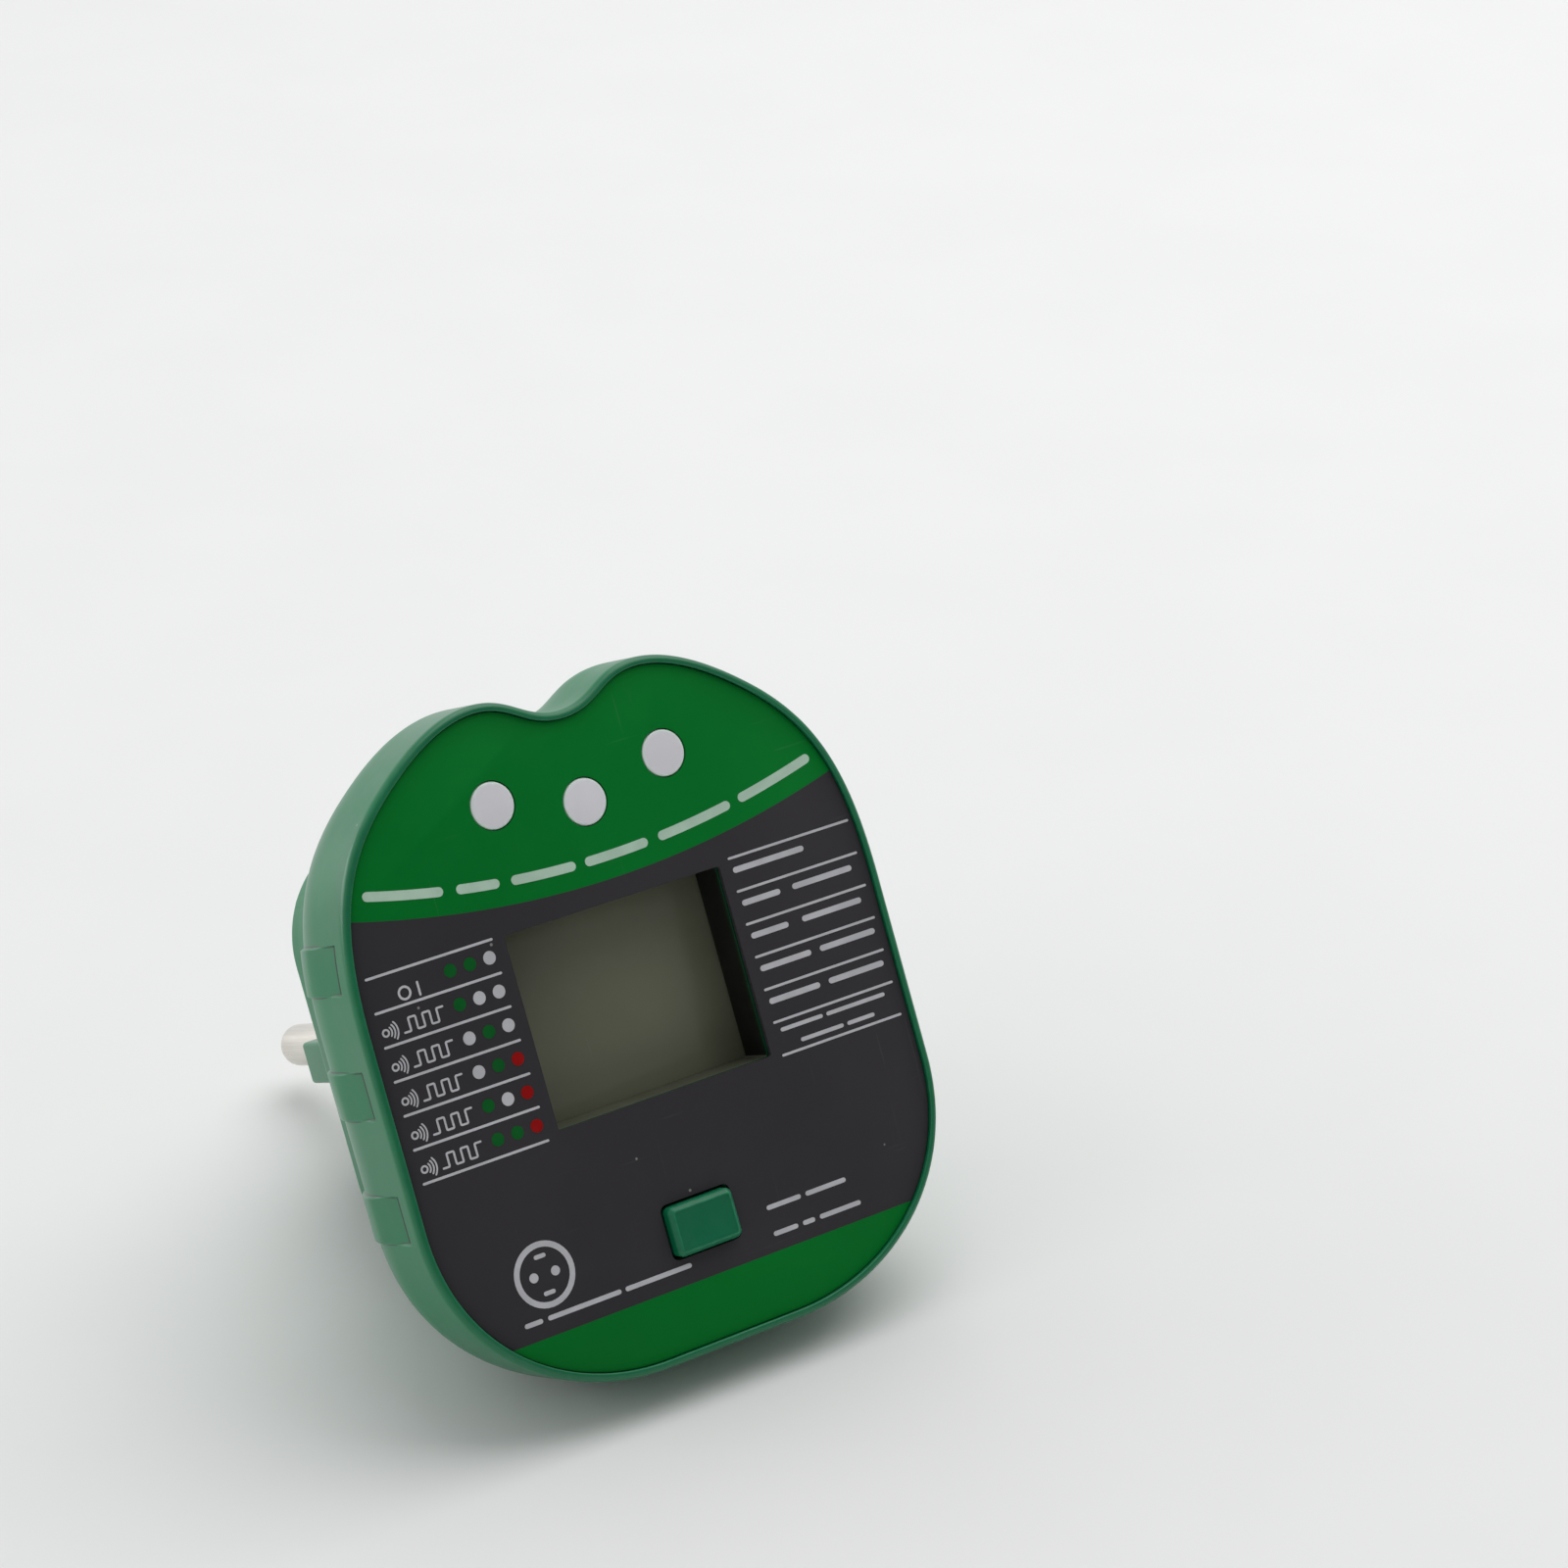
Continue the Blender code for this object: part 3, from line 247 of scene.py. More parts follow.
def caseBase(tree):
    # the moulding's green, with painted shade falling to near black down the walls of the display well, and a
    # painted lit sill below where the well's bottom wall faces up
    x, y, z = addNode(tree, "SeparateXYZ", {0: objectPlace(tree)}).outputs
    w, soft = wellPaintedShade, 0.1 * mm
    inX = within(tree, x, -w["halfWidth"] * mm, w["halfWidth"] * mm, soft)
    lowZ, highZ = (w["middleZ"] + side * w["halfHeight"] for side in (-1, 1))
    inZ = within(tree, z, lowZ * mm, highZ * mm, soft)
    # painted shade, darker with depth down the well
    deep = ramp(tree, y, w["front"] * mm, w["dark"] * mm)
    shade = times(tree, times(tree, inX, inZ), deep)
    shade = times(tree, shade, calc(tree, "LESS_THAN", y, w["back"] * mm))
    # painted lit sill where the well's wall faces up, painted shade on the other walls
    wall = mixColour(tree, ramp(tree, upwardShare(tree), 0.5, 0.8), w["colour"], w["paintedLitSill"])
    colour = mixColour(tree, shade, casePlastic["colour"], wall)
    # painted shadow caught behind the step at the front end of each grip pad
    g = padGrime
    ends = [((middle - g["half"]) * mm, (middle + g["half"]) * mm) for middle in g["middles"]]
    pads = [within(tree, z, low, high, soft) for low, high in ends]
    onPad = calc(tree, "ADD", calc(tree, "ADD", pads[0], pads[1]), pads[2])
    paintedStepShadow = times(tree, onPad, within(tree, y, g["from"] * mm, g["to"] * mm, 0.06 * mm))
    paintedStepShadow = times(tree, paintedStepShadow, ramp(tree, calc(tree, "ABSOLUTE", x), g["side"] * mm, (g["side"] + 0.4) * mm))
    return mixColour(tree, paintedStepShadow, colour, g["colour"])


labelFilmLook = {
    "roughness": 0.5, "grainSize": 5200.0, "clouds": 45.0, "bump": 0.10, "depth": 0.012, "cloudy": 0.04,
    "edge": 0.2, "edgeColour": tone(120, 135, 128), "dust": 0.006, "specks": 0.45, "scuff": 0.05,
    "grey": tone(59, 57, 60), "green": tone(4, 119, 44),
    "arcMiddle": 13.5, "arcRise": 212.4, "lowerGreen": -28.6, "soft": 0.04,
}


def labelBase(tree):
    # printed green above the arc z = middle + x * x / rise and below the straight lower edge, grey between
    x, _, z = addNode(tree, "SeparateXYZ", {0: objectPlace(tree)}).outputs
    look = labelFilmLook
    square = times(tree, x, x)
    arc = calc(tree, "ADD", calc(tree, "DIVIDE", square, look["arcRise"] * mm), look["arcMiddle"] * mm)
    above = calc(tree, "SUBTRACT", z, arc)
    below = calc(tree, "SUBTRACT", look["lowerGreen"] * mm, z)
    inside = ramp(tree, calc(tree, "MAXIMUM", above, below), -look["soft"] * mm, look["soft"] * mm)
    return mixColour(tree, inside, look["grey"], look["green"])


def inkLook(colour, roughness=0.5):
    return {"colour": colour, "roughness": roughness, "grainSize": 6000.0, "clouds": 260.0, "bump": 0.1,
            "depth": 0.01, "cloudy": 0.06, "edge": 0.0, "dust": 0.03, "specks": 0.1, "scuff": 0.12}


boardLook = {
    "roughness": 0.35, "grainSize": 4000.0, "bump": 0.1, "depth": 0.02, "edge": 0.3,
    "edgeColour": tone(150, 160, 110), "mask": tone(10, 72, 38), "trace": tone(24, 104, 58),
    "pad": tone(196, 198, 200), "padSpacing": 330.0,
    "runs": {"Scale": 260.0, "Mortar Size": 0.035, "Brick Width": 0.9, "Row Height": 0.33},
}


def boardBase(tree):
    # solder mask with paler copper runs below it and rows of tinned pads
    place = objectPlace(tree)
    flat = addNode(tree, "Mapping", {"Vector": place, "Rotation": (math.pi / 2, 0.0, 0.0)}).outputs[0]
    cells = addNode(tree, "TexBrick", {"Vector": flat, **boardLook["runs"]})
    sockets = {"Vector": place, "Scale": boardLook["padSpacing"], "Randomness": 0.35}
    dots = addNode(tree, "TexVoronoi", sockets, feature="F1").outputs["Distance"]
    runs = mixColour(tree, cells.outputs["Fac"], boardLook["mask"], boardLook["trace"])
    return mixColour(tree, ramp(tree, dots, 0.2, 0.16), runs, boardLook["pad"])


bandLook = {
    "roughness": 0.5, "coat": tone(196, 160, 112), "half": 0.38,
    "bands": [(-2.6, tone(90, 40, 20)), (-1.3, tone(20, 20, 22)), (0.0, tone(180, 60, 20)),
              (2.4, tone(190, 150, 40))],
}


def resistorBase(tree):
    # coloured rings round a tan coat, placed along X from the middle
    x = addNode(tree, "SeparateXYZ", {0: objectPlace(tree)}).outputs["X"]
    colour = bandLook["coat"]
    for middle, band in bandLook["bands"]:
        ring = within(tree, x, (middle - bandLook["half"]) * mm, (middle + bandLook["half"]) * mm, 0.04 * mm)
        colour = mixColour(tree, ring, colour, band)
    return colour


def filmCapBase(tree):
    # the yellow case with its flow marks from the mould
    streaks = addNode(tree, "Mapping", {"Vector": objectPlace(tree), "Scale": (900.0, 120.0, 140.0)})
    return mixColour(tree, noise(tree, 1.0, 4.0, streaks.outputs[0]), tone(206, 162, 30), tone(226, 186, 58))


def sleeveBase(tree):
    # dark blue sleeve with the pale stripe that marks the negative side
    x = addNode(tree, "SeparateXYZ", {0: objectPlace(tree)}).outputs["X"]
    stripe = ramp(tree, x, -4.05 * mm, -4.1 * mm)
    return mixColour(tree, stripe, tone(28, 42, 96), tone(190, 196, 206))


def brushedBase(tree):
    # metal with fine drawn lines along Y
    drawn = addNode(tree, "Mapping", {"Vector": objectPlace(tree), "Scale": (5200.0, 160.0, 5200.0)})
    return mixColour(tree, noise(tree, 1.0, 3.0, drawn.outputs[0]), tone(196, 192, 184), tone(226, 222, 214))


def makeFinishes():
    made = {}
    made["case"] = newFinish("casePlastic", casePlastic, caseBase, **{"Specular IOR Level": 0.42})
    buttonLook = {**casePlastic, "colour": tone(8, 108, 72), "edge": 0.4, "edgeColour": tone(60, 160, 116)}
    made["button"] = newFinish("buttonPlastic", buttonLook, None, **{"Specular IOR Level": 0.3})
    made["label"] = newFinish("printedLabel", labelFilmLook, labelBase, **{"Specular IOR Level": 0.06})
    inks = {
        "inkWhite": inkLook(tone(196, 196, 200)),
        "inkGreen": inkLook(tone(6, 92, 34)),
        "inkRed": inkLook(tone(150, 12, 12)),
        "inkTitle": inkLook(tone(186, 214, 194)),
    }
    for name, look in inks.items():
        made[name] = newFinish(name, look, None, **{"Specular IOR Level": 0.1})
    patterned = {"board": boardBase, "steel": brushedBase, "nickel": brushedBase, "yellow": filmCapBase,
                 "sleeve": sleeveBase, "resistor": resistorBase}
    looks = {
        "lens": {"colour": tone(232, 231, 236), "roughness": 0.38, "grainSize": 3000.0, "bump": 0.08,
                 "cloudy": 0.03, "edge": 0.8, "edgeColour": tone(226, 248, 234), "creaseShadeGrime": 0.0, "dust": 0.03,
                 "specks": 0.2, "scuff": 0.1},
        "epoxy": {"colour": tone(226, 226, 220), "roughness": 0.12, "bump": 0.04, "edge": 0.2},
        "film": {"colour": tone(118, 120, 100), "roughness": 0.2, "grainSize": 3600.0, "clouds": 40.0,
                 "bump": 0.05, "cloudy": 0.05, "edge": 0.0, "dust": 0.035, "specks": 0.7, "scuff": 0.06},
        "glass": {"colour": tone(64, 72, 64), "roughness": 0.08, "bump": 0.03, "edge": 0.6,
                  "edgeColour": tone(150, 178, 160)},
        "foil": {"colour": tone(206, 208, 210), "roughness": 0.3, "metallic": 1.0, "bump": 0.2, "edge": 0.3,
                 "edgeColour": tone(230, 230, 230)},
        "rubber": {"colour": tone(38, 38, 42), "roughness": 0.75, "bump": 0.3, "edge": 0.3,
                   "edgeColour": tone(90, 88, 96)},
        "holder": {"colour": tone(206, 206, 200), "roughness": 0.5, "edge": 0.3,
                   "edgeColour": tone(232, 232, 228)},
        "board": boardLook,
        "black": {"colour": tone(34, 34, 36), "roughness": 0.48, "bump": 0.4, "edge": 0.45,
                  "edgeColour": tone(96, 96, 100)},
        "steel": {"roughness": 0.3, "metallic": 1.0, "bump": 0.15, "edge": 0.3,
                  "edgeColour": tone(236, 234, 228), "dust": 0.06},
        "yellow": {"roughness": 0.42, "edge": 0.35, "edgeColour": tone(238, 212, 120)},
        "sleeve": {"roughness": 0.3, "bump": 0.1, "edge": 0.35, "edgeColour": tone(110, 124, 170)},
        "resistor": bandLook,
        "ceramic": {"colour": tone(214, 208, 192), "roughness": 0.35, "bump": 0.2, "edge": 0.4,
                    "edgeColour": tone(240, 236, 226)},
        "nickel": {"roughness": 0.3, "metallic": 1.0, "grainSize": 3400.0, "bump": 0.12, "edge": 0.3,
                   "edgeColour": tone(240, 238, 232), "dust": 0.08, "scuff": 0.3,
                   "scuffColour": tone(240, 238, 234)},
        "liveCover": {"colour": tone(122, 66, 34), "roughness": 0.45, "cloudy": 0.1},
        "neutralCover": {"colour": tone(38, 74, 150), "roughness": 0.45, "cloudy": 0.1},
        "earthCover": {"colour": tone(90, 140, 44), "roughness": 0.45, "cloudy": 0.1},
    }
    for name, look in looks.items():
        made[name] = newFinish(name + "Finish", look, patterned.get(name))
    return made


finish = makeFinishes()
print("finishes made:", len(finish))


def gridQuads(rows, columns):
    # quads between each row and the next, and round each row's closed loop
    row = np.arange(rows - 1)[:, None]
    column = np.arange(columns)[None, :]
    after = (column + 1) % columns
    this, following = row * columns, (row + 1) * columns
    corners = (this + column, this + after, following + after, following + column)
    return np.stack(np.broadcast_arrays(*corners), axis=-1).reshape(-1, 4)


def gridSolid(points):
    # points is rows x columns x 3: closed loops carried along, with a flat cap at each end
    rows, columns = points.shape[:2]
    first = np.arange(columns)
    return {"points": points.reshape(-1, 3), "quads": gridQuads(rows, columns),
            "caps": [first[::-1], first + (rows - 1) * columns]}


def loftSolid(rings, depths):
    # outline rings (x, z) placed at their depths y
    rings = np.asarray(rings, float)
    depth = np.broadcast_to(np.asarray(depths, float)[:, None], rings.shape[:2])
    return gridSolid(np.stack([rings[..., 0], depth, rings[..., 1]], axis=-1))


def turnedSolid(profile, x, z, base, direction=1, sides=64, wave=None):
    # radius r at height h turned about the Y line through (x, z): (x + r cos a, base + h, z + r sin a)
    profile = np.asarray(profile, float)
    angle = np.linspace(0, 2 * math.pi, sides, endpoint=False)[None, :]
    radius = np.repeat(profile[:, :1], sides, axis=1)
    if wave is not None:
        radius = radius + wave(profile[:, 1:2], angle)
    along = np.broadcast_to(base + direction * profile[:, 1:2], radius.shape)
    return gridSolid(np.stack([x + radius * np.cos(angle), along, z + radius * np.sin(angle)], axis=-1))


def softCorners(points, radius, steps=4):
    # each corner p becomes (1-t)^2 a + 2t(1-t) p + t^2 b, a and b lying radius away along its two sides
    points = np.asarray(points, float)
    back, ahead = np.roll(points, 1, axis=0) - points, np.roll(points, -1, axis=0) - points
    backLength, aheadLength = (np.linalg.norm(v, axis=1)[:, None] + 1e-9 for v in (back, ahead))
    reach = np.broadcast_to(np.asarray(radius, float), (len(points),))[:, None]
    reach = np.minimum(reach, 0.49 * np.minimum(backLength, aheadLength))
    a, b = points + back / backLength * reach, points + ahead / aheadLength * reach
    t = np.linspace(0, 1, steps + 1)[None, :, None]
    curve = (1 - t) ** 2 * a[:, None] + 2 * t * (1 - t) * points[:, None] + t**2 * b[:, None]
    return np.vstack([points[:1], curve[1:-1].reshape(-1, points.shape[1]), points[-1:]])


def circleRing(x, z, radius, sides=64):  # (x + r cos a, z + r sin a)
    angle = np.linspace(0, 2 * math.pi, sides, endpoint=False)
    return np.stack([x + radius * np.cos(angle), z + radius * np.sin(angle)], axis=1)


def roundedRing(x, z, halfX, halfZ, radius, steps=6):
    # a rectangle whose corners are quarter circles
    angle = np.arange(4)[:, None] * math.pi / 2 + np.linspace(0, math.pi / 2, steps + 1)[None, :]
    side = np.array(((1, 1), (-1, 1), (-1, -1), (1, -1)))
    return np.stack([x + side[:, :1] * (halfX - radius) + radius * np.cos(angle),
                     z + side[:, 1:] * (halfZ - radius) + radius * np.sin(angle)], axis=-1).reshape(-1, 2)


def softBlock(low, high, corner, edge, steps=4):
    # rounded rectangles along Y; the first and last ones pull in by edge * (1 - cos a) for a rounded edge
    (lowX, lowY, lowZ), (highX, highY, highZ) = low, high
    angle = np.linspace(math.pi / 2, 0, steps + 1)
    pulled = edge * (1 - np.cos(angle))
    inset = np.concatenate([pulled, pulled[::-1]])
    depth = np.concatenate([lowY + edge * (1 - np.sin(angle)), highY - edge * (1 - np.sin(angle[::-1]))])
    x, z, halfX, halfZ = (lowX + highX) / 2, (lowZ + highZ) / 2, (highX - lowX) / 2, (highZ - lowZ) / 2
    rings = [roundedRing(x, z, halfX - d, halfZ - d, max(corner - d, 0.02), steps) for d in inset]
    return loftSolid(rings, depth)


def prism(ring, low, high):  # one outline carried straight along Y
    return loftSolid([ring, ring], [low, high])


def tubeSolid(route, radius, sides=16):
    # circles of one radius square to the route at each of its points
    route = np.asarray(route, float)
    along = np.gradient(route, axis=0)
    along /= np.linalg.norm(along, axis=1)[:, None]
    side = np.cross(along, np.array((0.31, 0.2, 0.93)))
    side /= np.linalg.norm(side, axis=1)[:, None]
    up = np.cross(along, side)
    angle = np.linspace(0, 2 * math.pi, sides, endpoint=False)[None, :, None]
    return gridSolid(route[:, None] + radius * (np.cos(angle) * side[:, None] + np.sin(angle) * up[:, None]))


def smoothRoute(points, count=60):
    # a Catmull-Rom curve through the points
    points = np.asarray(points, float)
    padded = np.vstack([2 * points[0] - points[1], points, 2 * points[-1] - points[-2]])
    at = np.linspace(0, len(points) - 1, count)
    first = np.minimum(at.astype(int), len(points) - 2)
    u = (at - first)[:, None]
    a, b, c, d = (padded[first + k] for k in range(4))
    return 0.5 * (2 * b + (c - a) * u + (2 * a - 5 * b + 4 * c - d) * u**2 + (3 * b - a - 3 * c + d) * u**3)


def smoothTrack(at, stations, values):
    # a cubic through (station, value) pairs whose slopes are those of the pairs on either side
    stations, values = np.asarray(stations, float), np.asarray(values, float)
    slope = np.gradient(values, stations)
    k = np.clip(np.searchsorted(stations, at, side="right") - 1, 0, len(stations) - 2)
    width = stations[k + 1] - stations[k]
    t = np.clip((at - stations[k]) / width, 0, 1)
    return ((2 * t**3 - 3 * t**2 + 1) * values[k] + (t**3 - 2 * t**2 + t) * width * slope[k]
            + (3 * t**2 - 2 * t**3) * values[k + 1] + (t**3 - t**2) * width * slope[k + 1])


def meshOf(solids):
    # joins the solids, turns millimetres to metres, closes the poles and makes every face look outwards
    starts = np.cumsum([0] + [len(solid["points"]) for solid in solids])
    points = np.vstack([solid["points"] for solid in solids]) * mm
    quads = np.vstack([solid["quads"] + start for solid, start in zip(solids, starts)])
    caps = [cap + start for solid, start in zip(solids, starts) for cap in solid["caps"]]
    corners = np.concatenate([quads.ravel(), *caps]).astype(np.int32)
    sizes = np.concatenate([np.full(len(quads), 4), [len(cap) for cap in caps]])
    mesh = bpy.data.meshes.new("solid")
    mesh.vertices.add(len(points))
    mesh.vertices.foreach_set("co", points.astype(np.float32).ravel())
    mesh.loops.add(len(corners))
    mesh.loops.foreach_set("vertex_index", corners)
    mesh.polygons.add(len(sizes))
    mesh.polygons.foreach_set("loop_start", (np.cumsum(sizes) - sizes).astype(np.int32))
    mesh.update(calc_edges=True)
    cleanMesh(mesh)
    return mesh


def cleanMesh(mesh):
    # merges doubles, drops slivers and turns every face outwards
    bm = bmesh.new()
    bm.from_mesh(mesh)
    bmesh.ops.remove_doubles(bm, verts=bm.verts, dist=0.0005 * mm)
    bmesh.ops.dissolve_degenerate(bm, edges=bm.edges, dist=0.0002 * mm)
    bmesh.ops.recalc_face_normals(bm, faces=bm.faces)
    bm.to_mesh(mesh)
    bm.free()


def markEdges(mesh, fullBend=2.2, wide=0.5):
    # edge: mean outward bend at each vertex, 2 n . (p - q) / |p - q|^2, as a share of fullBend per mm
    # crease: the same for an inward bend; both are 0 on a wide face, whose width is 2 * area / outline
    place = np.empty(len(mesh.vertices) * 3, np.float32)
    mesh.vertices.foreach_get("co", place)
    place = place.reshape(-1, 3) / mm
    normal = np.empty(len(mesh.vertices) * 3, np.float32)
    mesh.vertex_normals.foreach_get("vector", normal)
    normal = normal.reshape(-1, 3)
    ends = np.empty(len(mesh.edges) * 2, np.int32)
    mesh.edges.foreach_get("vertices", ends)
    first, second = ends.reshape(-1, 2).T
    apart = place[first] - place[second]
    square = (apart**2).sum(axis=1) + 1e-6
    bend = np.concatenate([2 * (normal[first] * apart).sum(axis=1) / square,
                           -2 * (normal[second] * apart).sum(axis=1) / square])
    owner = np.concatenate([first, second])
    mean = np.bincount(owner, bend, len(place)) / np.maximum(np.bincount(owner, minlength=len(place)), 1)
    area, sizes = np.empty(len(mesh.polygons), np.float32), np.empty(len(mesh.polygons), np.int32)
    mesh.polygons.foreach_get("area", area)
    mesh.polygons.foreach_get("loop_total", sizes)
    corner, side = np.empty(len(mesh.loops), np.int32), np.empty(len(mesh.loops), np.int32)
    mesh.loops.foreach_get("vertex_index", corner)
    mesh.loops.foreach_get("edge_index", side)
    face = np.repeat(np.arange(len(sizes)), sizes)
    outline = np.bincount(face, np.sqrt(square[side]), len(sizes))
    width = 2 * area / mm**2 / np.maximum(outline, 1e-6)
    mean[corner[width[face] > wide]] = 0.0
    for name, value in (("edge", mean), ("crease", -mean)):
        attribute = mesh.attributes.new(name, "FLOAT", "POINT")
        attribute.data.foreach_set("value", np.clip(value / fullBend, 0, 1).astype(np.float32))


def carve(mesh, solids, operation):
    # one exact Boolean with the joined solids, applied at once
    scene = bpy.context.scene.collection
    target = bpy.data.objects.new("carved", mesh)
    tool = bpy.data.objects.new("tool", meshOf(solids))
    scene.objects.link(target)
    scene.objects.link(tool)
    cut = target.modifiers.new("cut", "BOOLEAN")
    cut.operation = operation
    cut.solver = "EXACT"
    cut.object = tool
    result = bpy.data.meshes.new_from_object(target.evaluated_get(bpy.context.evaluated_depsgraph_get()))
    for helper in (target, tool):
        bpy.data.objects.remove(helper, do_unlink=True)
    cleanMesh(result)
    return result


def placePiece(name, mesh, material, body="tester", replaced=(), angle=35.0):
    # smooth, but sharp where faces bend more than the angle; then its finish, wear, body and CAD part
    mesh.shade_smooth()
    mesh.set_sharp_from_angle(angle=math.radians(angle))
    mesh.materials.clear()
    mesh.materials.append(finish[material])
    markEdges(mesh)
    mesh.name = name
    piece = bpy.data.objects.new(name, mesh)
    bpy.context.scene.collection.objects.link(piece)
    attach(piece, body)
    if replaced:
        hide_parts(*replaced)


caseLow, caseHigh, _ = nodeBox("front_case")
labelLow, labelHigh, _ = nodeBox("face_label")
rimY, seamY, backY, labelY = caseLow[1], caseHigh[1], nodeBox("rear_case")[1][1], labelLow[1]
gap = 0.3  # the clearance between parts that meet

caseShape = {
    "notch": 31.5, "lobe": (9.5, caseHigh[2]), "shoulder": (21.7, 28.8), "shoulderAngle": 0.69,
    "halfWidth": 30.75, "sideTop": 5.1, "sideBottom": -14.5, "bottomHalf": 7.8, "bottom": caseLow[2],
    "notchBend": (4.0, 4.6), "lobeBend": (4.2, 4.8), "shoulderBend": (9.0, 11.5), "cornerBend": (13.1, 12.4),
    "wallDepth": 17.4, "leanStart": 7.4, "leanOver": 10.0, "leanBy": 4.0, "leanPower": 2.245,
    "padMiddles": (-12.9, 0.0, 12.9), "padHalf": 2.35, "padRamp": 0.25, "padStart": 2.4, "padStep": 0.08,
    "padFull": 9.0, "padSunk": 0.4, "padProud": 0.4, "ringPoints": 250, "closest": 0.12,
}


def bezierLine(start, leave, arrive, end, count):
    # (1-t)^3 start + 3 (1-t)^2 t leave + 3 (1-t) t^2 arrive + t^3 end
    t = np.linspace(0, 1, count)[:, None]
    a, b, c, d = (np.array(point, float) for point in (start, leave, arrive, end))
    return (1 - t) ** 3 * a + 3 * (1 - t) ** 2 * t * b + 3 * (1 - t) * t**2 * c + t**3 * d


def rightHalf(count=400):
    # notch, lobe, shoulder, side, corner, bottom: curves between named points with named headings
    s = caseShape
    down = np.array((math.cos(s["shoulderAngle"]), -math.sin(s["shoulderAngle"])))
    across, up = np.array((1.0, 0.0)), np.array((0.0, 1.0))
    notch, lobe, shoulder = np.array((0.0, s["notch"])), np.array(s["lobe"]), np.array(s["shoulder"])
    sideTop = np.array((s["halfWidth"], s["sideTop"]))
    sideBottom = np.array((s["halfWidth"], s["sideBottom"]))
    corner = np.array((s["bottomHalf"], s["bottom"]))
    (fromNotch, toLobe), (fromLobe, toShoulder) = s["notchBend"], s["lobeBend"]
    (fromShoulder, toSide), (fromSide, toCorner) = s["shoulderBend"], s["cornerBend"]
    pieces = [
        bezierLine(notch, notch + fromNotch * across, lobe - toLobe * across, lobe, count),
        bezierLine(lobe, lobe + fromLobe * across, shoulder - toShoulder * down, shoulder, count),
        bezierLine(shoulder, shoulder + fromShoulder * down, sideTop + toSide * up, sideTop, count),
        np.linspace(sideTop, sideBottom, count),
        bezierLine(sideBottom, sideBottom - fromSide * up, corner + toCorner * across, corner, count),
        np.linspace(corner, (0.0, s["bottom"]), count // 4),
    ]
    return np.vstack([pieces[0]] + [piece[1:] for piece in pieces[1:]])


rightLine = rightHalf()
rightLength = np.concatenate([[0.0], np.cumsum(np.linalg.norm(np.diff(rightLine, axis=0), axis=1))])
rightNormal = np.gradient(rightLine, axis=0)
rightNormal = np.stack([-rightNormal[:, 1], rightNormal[:, 0]], axis=1)
rightNormal /= np.linalg.norm(rightNormal, axis=1)[:, None]


def ringStations():
    # even steps along the half outline, with a close group of extra ones at each edge of the grip pads
    s = caseShape
    even = np.linspace(0, rightLength[-1], s["ringPoints"])
    top = rightLine[:, 1].argmax()
    middles, sides = np.meshgrid(s["padMiddles"], (-1, 1))
    edges = (middles + sides * (s["padHalf"] + s["padRamp"] / 2)).ravel()
    spread = np.array((-0.42, -0.28, -0.2, -0.14, -0.08, 0.0, 0.08, 0.14, 0.2, 0.28, 0.42))
    heights = (edges[:, None] + spread[None]).ravel()
    extra = np.interp(-heights, -rightLine[top:, 1], rightLength[top:])
    clear = np.abs(even[:, None] - extra[None]).min(axis=1) > s["closest"]
    clear[[0, -1]] = True
    return np.sort(np.concatenate([even[clear], extra]))


stations = ringStations()
evenStations = np.linspace(0, rightLength[-1], 150)


def caseRing(inset=0.0, along=stations):
    # the outline moved in along its normals, then mirrored to close the loop
    moved = rightLine - inset * rightNormal
    half = np.stack([np.interp(along, rightLength, moved[:, k]) for k in (0, 1)], axis=1)
    half[[0, -1], 0] = 0.0
    return np.vstack([half, half[-2:0:-1] * (-1, 1)])


def wallInset(depth):  # the side wall leans in behind the grip: by * ((depth - start) / over) ^ power
    s = caseShape
    return s["leanBy"] * np.clip((depth - s["leanStart"]) / s["leanOver"], 0, None) ** s["leanPower"]


def padShare(ring):
    # 1 on the grip pads' flats, 0 beyond their ramps, with a soft step between
    s = caseShape
    off = np.abs(ring[:, 1][:, None] - np.array(s["padMiddles"])[None]).min(axis=1)
    t = np.clip((s["padHalf"] + s["padRamp"] - off) / s["padRamp"], 0, 1)
    return t * t * (3 - 2 * t) * (np.abs(ring[:, 0]) > 0.8 * s["halfWidth"])


def padLift(depth):
    # a short step down at the pad's front end, then a straight rise to stand proud at the back
    s = caseShape
    start = s["padStart"]
    steps = [start, start + s["padStep"], s["padFull"]]
    return float(np.interp(depth, steps, [0.0, -s["padSunk"], s["padProud"]]))


displayLow, displayHigh, displayMiddle = nodeBox("lcd_glass")
buttonLow, buttonHigh, _ = nodeBox("test_button")
lampNames = ("left", "centre", "right")
lampPlaces = {side: nodeBox("lamp_window_" + side)[2][[0, 2]] for side in lampNames}
caseScrews = [nodeBox("case_screw_%d" % k)[2][[0, 2]] for k in (1, 2, 3, 4)]
boardScrews = [nodeBox("board_screw_%d" % k)[2][[0, 2]] for k in (1, 2, 3, 4)]
plugScrews = [nodeBox("plug_screw_%d" % k)[2][[0, 2]] for k in (1, 2)]
window = {
    "halfX": displayHigh[0] - 1.5, "halfZ": (displayHigh[2] - displayLow[2]) / 2 - 1.45, "z": displayMiddle[2],
    "lcdY": displayLow[1], "corner": 0.35, "rib": 1.2,
}
button = {
    "x": -0.2, "z": -22.95, "halfX": 3.85, "halfZ": 2.65, "corner": 0.75, "front": buttonLow[1], "gap": 0.3,
    "flangeY": -48.9, "flangeThick": 0.9, "flangeOut": 0.9, "stemHalf": 1.4, "straight": 4.6,
}


def windowHole(low, high):
    return prism(roundedRing(0, window["z"], window["halfX"], window["halfZ"], window["corner"]), low, high)


def buttonHole(low, high):
    b = button
    halfX, halfZ = b["halfX"] + b["gap"], b["halfZ"] + b["gap"]
    return prism(roundedRing(b["x"], b["z"], halfX, halfZ, b["corner"]), low, high)


